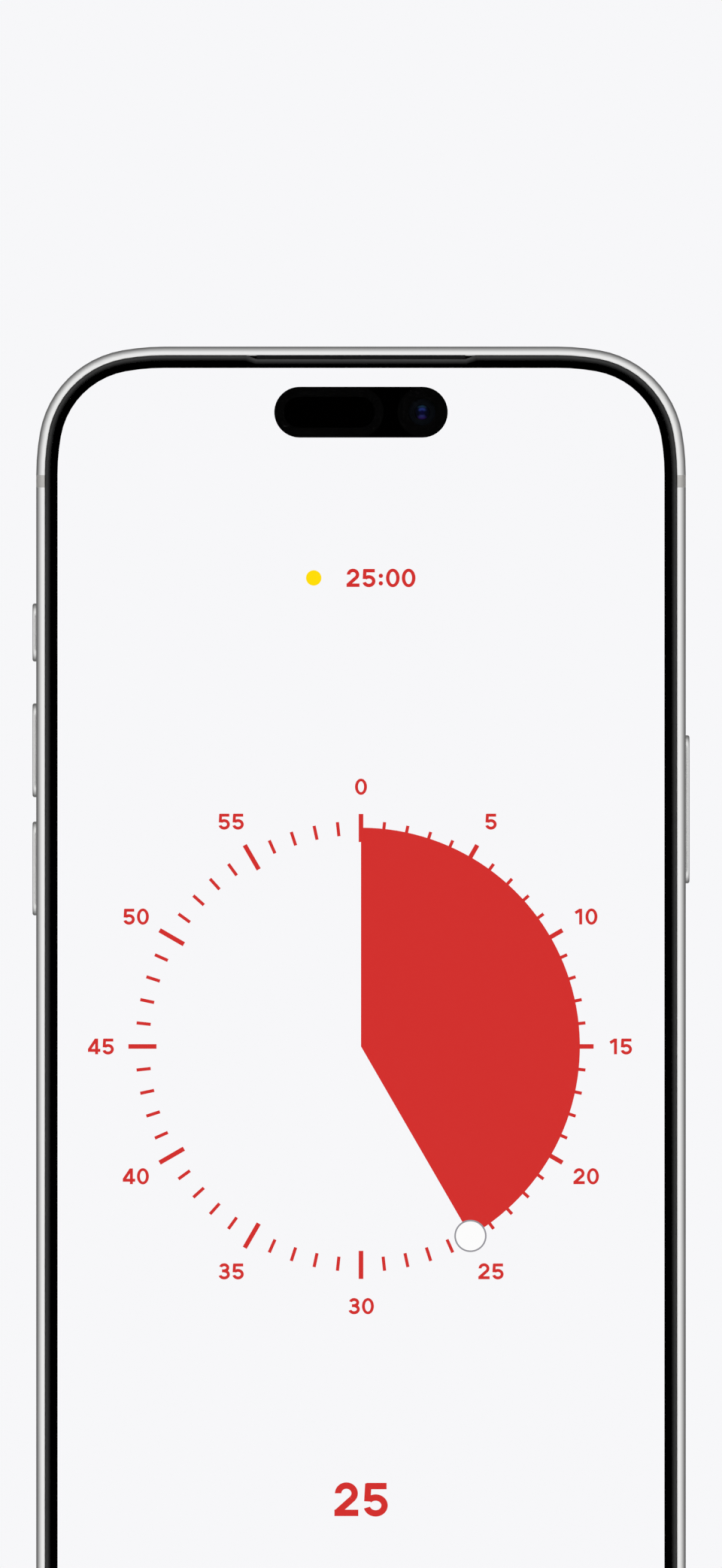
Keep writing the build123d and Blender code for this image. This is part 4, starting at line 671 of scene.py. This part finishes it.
# --- Display ----------------------------------------------------------------------------------
# The panel is bonded behind the cover glass and lights itself. The picture of a countdown dial
# lies in thin layers in front of it, each with its own light. A graphite sheet backs the panel.
SCREEN_RED = (0.648, 0.030, 0.027)
HANDLE_WHITE = (0.9734, 0.9734, 0.9734)
HANDLE_GREY = (0.305, 0.300, 0.328)
DOT_YELLOW = (1.0, 0.723, 0.0021)
UNLIT_BLACKS = (0.001, 0.001, 0.001), (0.002, 0.002, 0.002)
GRAPHITE = (0.06, 0.06, 0.062)
UNEVEN = 20 * MM
SMEAR, SMEAR_EDGE = 12 * MM, (0.4, 0.8)


def lit(name, shade):
    """Glowing layer behind smooth glass: a faint unevenness in its light, smears in its gloss."""
    layer = Finish(name)
    uneven = layer.speckle(UNEVEN)
    smear = layer.speckle(SMEAR, detail=4.0)
    return layer.coat({
        "Base Color": layer.blend(smear, *UNLIT_BLACKS),
        "Roughness": 0.04 + 0.1 * smear.step(*SMEAR_EDGE),
        "Specular IOR Level": 0.3,
        "Emission Color": layer.blend(uneven, tone(shade, 0.995), tone(shade, 1.002)),
        "Emission Strength": 1.0,
    })


dress(lit("lit_panel", PAPER), "display_panel")
dress(lit("lit_red", SCREEN_RED), "lit_time_sector", "lit_dial_marks", "lit_readout")
dress(lit("lit_white", HANDLE_WHITE), "lit_handle")
dress(lit("lit_grey", HANDLE_GREY), "lit_handle_line")
dress(lit("lit_yellow", DOT_YELLOW), "lit_dot")
dress(rolled("graphite_sheet", GRAPHITE, roughness=0.4), "display_shield")

# --- Cover glass ------------------------------------------------------------------------------
# One sheet of strengthened glass covers the front and is ground round at its edge. The flat part
# is clear. A painted highlight in the colour lights the rounded edge more the further it turns
# away from the front. Black ink is printed on its back.
WHITE = (1.0, 1.0, 1.0)
# The painted highlight's share of white where the edge turns fully sideways, and how steeply it
# falls.
EDGE_PAINTED_HIGHLIGHT, EDGE_FALL = 0.15, 2.2
EDGE_FADE = (0.0, 0.2)  # how far the glass has turned away where it fades in and is full
PILL_HEIGHT = 155.16 * MM
CAMERA_CENTRE = (7.3 * MM, PILL_HEIGHT)
# Left end, right end and half height of the sensor's opening in the outer ink, then the inner.
SENSOR_ZONES = ((-10.31 * MM, 2.7 * MM, 3.02 * MM), (-9.22 * MM, 1.65 * MM, 1.86 * MM))
CAMERA_ZONE = 2.95 * MM
PRINT_BLUR = 30 * MICRON
INK_BLACK, INK_FAINT = (0.0001, 0.0001, 0.0001), (0.002, 0.002, 0.002)
SEAL_BLACK = (0.016, 0.016, 0.016)

edge_highlight_glass = Finish("ground_glass_edge")
facing_way = edge_highlight_glass.node("ShaderNodeNewGeometry")["Normal"]
slope = edge_highlight_glass.node("ShaderNodeSeparateXYZ", {}, {"Vector": facing_way})["Y"]
turned_away = (1 - slope ** 2).maximum(0.0) ** 0.5
# Painted highlight: colour lighter where the glass turns away, standing for the reflection on its
# rounded edge.
glow = EDGE_PAINTED_HIGHLIGHT * turned_away ** EDGE_FALL
dust = edge_highlight_glass.speckle(2 * MM, detail=3.0)
dress(edge_highlight_glass.coat({
    "Base Color": edge_highlight_glass.blend(glow * (0.94 + 0.12 * dust), BLACK, WHITE),
    "Roughness": 0.12 + 0.1 * dust,
    "Specular IOR Level": 0.05,
    "Alpha": turned_away.step(*EDGE_FADE),
}), "cover_glass")

ink = Finish("border_ink")
smear = ink.speckle(SMEAR, detail=4.0)


def printed(distance, half):
    """1 up to a distance of half, and 0 past it, with the print's own blur."""
    return 1 - distance.step(half - PRINT_BLUR, half + PRINT_BLUR)


def slot_zone(left, right, half):
    """1 inside a slot with round ends, and 0 outside it."""
    along = (abs(ink.x - (left + right) / 2) - ((right - left) / 2 - half)).maximum(0.0)
    return printed((along ** 2 + (ink.z - PILL_HEIGHT) ** 2) ** 0.5, half)


outer, inner = (slot_zone(*zone) for zone in SENSOR_ZONES)
round_zone = printed(ink.reach(CAMERA_CENTRE), CAMERA_ZONE)
faint = (outer - inner).maximum(round_zone)
dress(ink.coat({
    "Base Color": ink.blend(faint, INK_BLACK, INK_FAINT),
    "Roughness": 0.03 + 0.08 * smear.step(*SMEAR_EDGE),
    "Specular IOR Level": 0.3,
}), "black_border")
dress(moulded("seal_foam", SEAL_BLACK, roughness=0.8, grain=200 * MICRON, depth=20 * MICRON),
      "glass_seals")

# --- Front camera and sensor ------------------------------------------------------------------
# A small camera looks out through the pill in the ink, with a coated dome of glass in a black
# barrel, whose coloured glints are painted reflections in the dome's colour. The face sensor
# beside it is a flat dark module.
FRONT_GLASS, FRONT_RISE = 0.88 * MM, 0.22 * MM
GLASS_FOOT = 0.1 * MM  # how deep each domed glass is let into its barrel
FRONT_SUNK = 0.35 * MM  # how far the front glass's seat lies behind the barrel's face
FRONT_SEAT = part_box("front_camera_lens")[0].y + FRONT_SUNK
FRONT_GLOSS = 0.02
GLASS_BLACK = (0.0003, 0.0012, 0.009)
# Each glint is a painted reflection in the lens's colour: 1 for the upper half, -1 for the lower
# or 0 for all round; its place and half width in radii; the cosines from its own middle at which
# it fades out and is full; its shade.
ALL_ROUND = (-1.0, -0.5)
FRONT_PAINTED_GLINTS = (
    (0, 0.0, 0.5, ALL_ROUND, (0.003, 0.002, 0.026)),
    (0, 0.88, 0.2, ALL_ROUND, (0.0055, 0.0065, 0.0125)),
    (1, 0.84, 0.24, (0.6, 1.15), (0.022, 0.072, 0.125)),
    (1, 0.44, 0.31, (0.1, 0.95), (0.014, 0.028, 0.17)),
    (-1, 0.57, 0.32, (0.55, 1.1), (0.02, 0.024, 0.14)),
    (-1, 0.84, 0.26, (0.55, 1.1), (0.036, 0.014, 0.14)),
)
GLINT_CORE = 0.1  # the share of a glint's half width that is full
CAMERA_BLACK = (0.004, 0.004, 0.0045)
BARREL_BLACKS = (0.0012, 0.0018, 0.0028), (0.0034, 0.0046, 0.0068)
THREAD_PITCH = 0.2 * MM
SOOT = 0.6 * MM
SENSOR_BLACK, EMITTER_PURPLE = (0.0015, 0.0015, 0.0016), (0.006, 0.004, 0.006)
EMITTER_PITCH, EMITTER_EDGE = 1.4 * MM, (0.2, 0.3)
CREASE = math.radians(40)


def lathe(name, profile, centre, sides=64):
    """Closed shape turned about the line along Y through centre; profile holds radius and y."""
    mesh = bmesh.new()
    x, z = centre
    turns = [2 * math.pi * i / sides for i in range(sides)]
    loops = []
    for reach, y in profile:
        loops.append([
            mesh.verts.new((x + reach * math.cos(turn), y, z + reach * math.sin(turn)))
            for turn in turns[:sides if reach else 1]])
    for one, two in zip(loops, loops[1:]):
        for i in range(sides):
            j = (i + 1) % sides
            corners = [one[i % len(one)], one[j % len(one)], two[j % len(two)], two[i % len(two)]]
            mesh.faces.new(list(dict.fromkeys(corners)))
    bmesh.ops.recalc_face_normals(mesh, faces=mesh.faces)
    for face in mesh.faces:
        face.smooth = True
    turned = bpy.data.objects.new(name, bpy.data.meshes.new(name))
    mesh.to_mesh(turned.data)
    mesh.free()
    turned.data.set_sharp_from_angle(angle=CREASE)
    bpy.context.scene.collection.objects.link(turned)
    return turned


def dome(radius, crown, seat, back, steps=12):
    """Profile of a front glass: a cap from crown to seat, and a short cylinder down to back."""
    rise = abs(crown - seat)
    bend = (radius ** 2 + rise ** 2) / (2 * rise)
    way = 1 if crown > seat else -1
    tilts = [math.asin(radius / bend) * i / steps for i in range(steps + 1)]
    cap = [(bend * math.sin(tilt), crown - way * bend * (1 - math.cos(tilt))) for tilt in tilts]
    return cap + [(radius, back), (0, back)]


def glint_painted_lens(name, centre, radius, painted_glints, gloss):
    """Coated lens: nearly black, with painted reflections as soft arcs round its middle."""
    glass = Finish(name)
    out = glass.reach(centre).maximum(0.01 * radius)  # never 0, as the height is divided by it
    upward = (glass.z - centre[1]) / out
    shade = GLASS_BLACK
    # Painted reflections: each glint lightens the colour in an arc round the middle.
    for way, place, half, (faded, full), tint in painted_glints:
        arc = 1 - abs(out * (1 / radius) - place).step(GLINT_CORE * half, half)
        shade = glass.blend(arc * (upward * way).step(faded, full), shade, tint)
    haze = glass.speckle(radius, detail=3.0)
    return glass.coat({
        "Base Color": shade,
        "Roughness": 0.02 + 0.05 * haze,
        "Specular IOR Level": gloss,
    })


dress(moulded("camera_black", CAMERA_BLACK, roughness=0.6, grain=100 * MICRON, gloss=0.15),
      "front_camera_body", "rear_camera_bodies")

blackened = Finish("blackened_barrel")
rings = blackened.grooves(blackened.reach(CAMERA_CENTRE), THREAD_PITCH)
soot = blackened.speckle(SOOT)
dress(blackened.coat({
    "Base Color": blackened.blend(rings, *BARREL_BLACKS),
    "Roughness": 0.3 + 0.1 * soot,
    "Specular IOR Level": FRONT_GLOSS,
}), "front_camera_lens")

profile = dome(FRONT_GLASS, FRONT_SEAT - FRONT_RISE, FRONT_SEAT, FRONT_SEAT + GLASS_FOOT)
front_dome = lathe("front_camera_dome", profile, CAMERA_CENTRE)
front_dome.data.materials.append(
    glint_painted_lens("front_coating", CAMERA_CENTRE, FRONT_GLASS, FRONT_PAINTED_GLINTS, FRONT_GLOSS))
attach(front_dome, "body")

sensor = Finish("sensor_window")
emitters = 1 - sensor.cells(EMITTER_PITCH).step(*EMITTER_EDGE)
haze = sensor.speckle(2 * MM)
dress(sensor.coat({
    "Base Color": sensor.blend(emitters, SENSOR_BLACK, EMITTER_PURPLE),
    "Roughness": 0.06 + 0.06 * haze,
    "Specular IOR Level": 0.1,
}), "face_sensor")

# --- Rear glass -------------------------------------------------------------------------------
# The back is a sheet of coloured glass, etched to a silky matt and bonded into the band. The
# island is polished out of the same glass, and raised to carry the cameras.
BACK_SHADE = (0.7, 0.7, 0.69)
ISLAND_SHADE = (0.62, 0.62, 0.615)
ETCH, ETCH_DEPTH = 60 * MICRON, 1 * MICRON
RIPPLE, RIPPLE_DEPTH = 12 * MM, 4 * MICRON
ISLAND_SMEAR, ISLAND_SMEAR_EDGE = 6 * MM, (0.45, 0.75)

etched = Finish("etched_glass")
frost = etched.speckle(ETCH)
cloud = etched.speckle(20 * MM, detail=3.0)
dress(etched.coat({
    "Base Color": etched.blend(cloud, tone(BACK_SHADE, 0.97), tone(BACK_SHADE, 1.03)),
    "Roughness": 0.36 + 0.08 * cloud,
    "Normal": etched.relief(frost, ETCH_DEPTH),
    "Coat Weight": 0.12,
    "Coat Roughness": 0.25,
}), "rear_glass")

polished = Finish("polished_glass")
smear = polished.speckle(ISLAND_SMEAR, detail=4.0)
ripple = polished.speckle(RIPPLE, detail=1.0)
dress(polished.coat({
    "Base Color": polished.blend(smear, tone(ISLAND_SHADE, 0.97), tone(ISLAND_SHADE, 1.02)),
    "Roughness": 0.05 + 0.12 * smear.step(*ISLAND_SMEAR_EDGE),
    "Normal": polished.relief(ripple, RIPPLE_DEPTH),
    "Coat Weight": 1.0,
    "Coat Roughness": 0.03,
}), "camera_island")

# --- Rear cameras -----------------------------------------------------------------------------
# Each camera looks through a window of coated glass in a ring turned from steel. Its barrel
# slides behind the window to focus, and a stepped black funnel leads to the domed front glass,
# whose coloured glints are painted reflections in its colour.
APERTURES = {"main": 2.6 * MM, "wide": 2.0 * MM, "tele": 1.6 * MM}
GLASS_SHARE = 0.98  # of each aperture, so that the glass doesn't touch its edge
FUNNEL = 0.9 * MM
REAR_RISE = 0.16  # rise of each front glass in its radii
REAR_GLOSS = 0.08
# Painted reflections of each rear front glass, in the same columns as the front camera's glints.
REAR_PAINTED_GLINTS = (
    (0, 0.3, 0.8, ALL_ROUND, (0.002, 0.0025, 0.01)),
    (0, 0.96, 0.12, ALL_ROUND, (0.012, 0.013, 0.016)),
    (1, 0.72, 0.3, (0.2, 0.9), (0.01, 0.045, 0.05)),
    (1, 0.36, 0.22, (0.1, 0.9), (0.012, 0.02, 0.09)),
    (-1, 0.55, 0.34, (0.1, 0.9), (0.035, 0.014, 0.06)),
)
COATED_INDEX = 1.1  # the window's coating leaves it the reflection of so thin a medium
WINDOW_TINTS = (0.9, 0.94, 0.98), (0.96, 0.98, 1.0)
WINDOW_SMEAR, WINDOW_SMEAR_EDGE = 3 * MM, (0.55, 0.85)
RING_SHADES = (0.7, 0.7, 0.695), (0.78, 0.78, 0.77)
RING_PITCH, RING_DEPTH = 80 * MICRON, 1 * MICRON
FUNNEL_BLACKS = (0.003, 0.003, 0.0035), (0.009, 0.009, 0.01)
FUNNEL_PITCH, FUNNEL_DEPTH = 0.5 * MM, 10 * MICRON
CENTRES = {name: middle(name + "_camera_lens") for name in APERTURES}

ring = Finish("turned_ring")
nearest = ring.reach(CENTRES["main"])
for name in ("wide", "tele"):
    nearest = nearest.minimum(ring.reach(CENTRES[name]))
marks = ring.grooves(nearest, RING_PITCH)
cloud = ring.speckle(3 * MM, detail=3.0)
dress(ring.coat({
    "Base Color": ring.blend(cloud, *RING_SHADES),
    "Metallic": 1.0,
    "Roughness": 0.16 + 0.12 * cloud,
    "Normal": ring.relief(marks, RING_DEPTH),
}), "lens_rings")

window = Finish("lens_window")
smear = window.speckle(WINDOW_SMEAR, detail=4.0)
dress(window.coat({
    "Base Color": window.blend(smear, *WINDOW_TINTS),
    "Roughness": 0.002 + 0.02 * smear.step(*WINDOW_SMEAR_EDGE),
    "Transmission Weight": 1.0,
    "IOR": COATED_INDEX,
}), "lens_windows")

for name, centre in CENTRES.items():
    barrel = Finish(name + "_barrel_black")
    ribs = barrel.grooves(barrel.reach(centre), FUNNEL_PITCH)
    soot = barrel.speckle(SOOT)
    dress(barrel.coat({
        "Base Color": barrel.blend(ribs, *FUNNEL_BLACKS),
        "Roughness": 0.3 + 0.15 * soot,
        "Specular IOR Level": 0.1,
        "Normal": barrel.relief(ribs, FUNNEL_DEPTH),
    }), name + "_camera_lens")
    radius = APERTURES[name] * GLASS_SHARE
    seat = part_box(name + "_camera_lens")[1].y - FUNNEL
    profile = dome(radius, seat + REAR_RISE * radius, seat, seat - GLASS_FOOT)
    front_glass = lathe(name + "_front_glass", profile, centre)
    front_glass.data.materials.append(
        glint_painted_lens(name + "_coating", centre, radius, REAR_PAINTED_GLINTS, REAR_GLOSS))
    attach(front_glass, name + "_camera_lens")

# --- Flash ------------------------------------------------------------------------------------
# A clear moulded window with Fresnel rings on its inner face covers the flash, whose yellow
# phosphor lies in the face of a white block on a small board.
FLASH_CENTRE = middle("flash_window")
FLASH_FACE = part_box("flash_light")[1].y
FRESNEL_PITCH, FRESNEL_DEPTH = 0.3 * MM, 30 * MICRON
WINDOW_CLEAR, WINDOW_YELLOW = (0.72, 0.71, 0.66), (0.72, 0.6, 0.22)
PHOSPHOR_REACH, PHOSPHOR_DEPTH = 1.2 * MM, 0.1 * MM
PHOSPHOR_YELLOWS = (0.75, 0.58, 0.12), (0.85, 0.72, 0.25)
BOARD_WHITE = (0.62, 0.62, 0.6)
PHOSPHOR_GRAIN, GRAIN_DEPTH = 0.1 * MM, 10 * MICRON

fresnel = Finish("fresnel_window")
reach = fresnel.reach(FLASH_CENTRE)
rings = fresnel.grooves(reach, FRESNEL_PITCH)
phosphor = 1 - reach.step(0.75 * PHOSPHOR_REACH, 1.5 * PHOSPHOR_REACH)
dress(fresnel.coat({
    "Base Color": fresnel.blend(phosphor * (0.7 + 0.3 * rings), WINDOW_CLEAR, WINDOW_YELLOW),
    "Roughness": 0.1 + 0.1 * rings,
    "Normal": fresnel.relief(rings, FRESNEL_DEPTH),
    "Coat Weight": 1.0,
    "Coat Roughness": 0.03,
}), "flash_window")

grained = Finish("flash_phosphor")
grain = grained.speckle(PHOSPHOR_GRAIN, detail=3.0)
disc = 1 - grained.reach(FLASH_CENTRE).step(PHOSPHOR_REACH, 1.1 * PHOSPHOR_REACH)
face = (grained.y - FLASH_FACE).step(-2 * PHOSPHOR_DEPTH, -PHOSPHOR_DEPTH)
dress(grained.coat({
    "Base Color": grained.blend(disc * face, BOARD_WHITE, grained.blend(grain, *PHOSPHOR_YELLOWS)),
    "Roughness": 0.6 + 0.2 * grain,
    "Normal": grained.relief(grain, GRAIN_DEPTH),
}), "flash_light")

# --- Buttons ----------------------------------------------------------------------------------
# Four caps of the band's own metal slide in slots in its sides. Each is milled, blasted as the
# band is, and sprung by the dome switch behind it.
CAP_TITANIUM = tone(TITANIUM, 0.98)

dress(blasted("blasted_cap", CAP_TITANIUM), "action_button", "volume_up_button",
      "volume_down_button", "side_button")

# --- Card tray --------------------------------------------------------------------------------
# The tray slides out of the left side. Its face is blasted with the band so that they match, and
# it carries a plastic card with gilt contact pads.
CARD_CENTRE = middle("card")
CARD_IVORY, PAD_GILT = (0.8, 0.79, 0.76), (0.83, 0.6, 0.28)
PAD_HALF_WIDTH, PAD_HALF_HEIGHT = 2.6 * MM, 3.8 * MM
PAD_SLOPE = 0.1 * MM
PAD_PITCH, PAD_DEPTH = 1.9 * MM, 20 * MICRON
SPLIT_FROM, SPLIT_TO = 0.1 * MM, 0.16 * MM
GAP_FROM, GAP_TO = 0.985, 0.995

dress(blasted("blasted_tray", CAP_TITANIUM), "card_tray")

plastic = Finish("card_plastic")
across, up = plastic.x - CARD_CENTRE[0], plastic.z - CARD_CENTRE[1]
in_width = 1 - abs(across).step(PAD_HALF_WIDTH, PAD_HALF_WIDTH + PAD_SLOPE)
in_height = 1 - abs(up).step(PAD_HALF_HEIGHT, PAD_HALF_HEIGHT + PAD_SLOPE)
split = 1 - abs(across).step(SPLIT_FROM, SPLIT_TO)
gaps = split.maximum(plastic.grooves(up + PAD_PITCH / 4, PAD_PITCH).step(GAP_FROM, GAP_TO))
pads = in_width * in_height * (1 - gaps)
cloud = plastic.speckle(2 * MM, detail=3.0)
dress(plastic.coat({
    "Base Color": plastic.blend(pads, CARD_IVORY, PAD_GILT),
    "Metallic": pads,
    "Roughness": 0.42 - 0.15 * pads + 0.1 * cloud,
    "Normal": plastic.relief(pads + 0.1 * cloud, PAD_DEPTH),
}), "card")
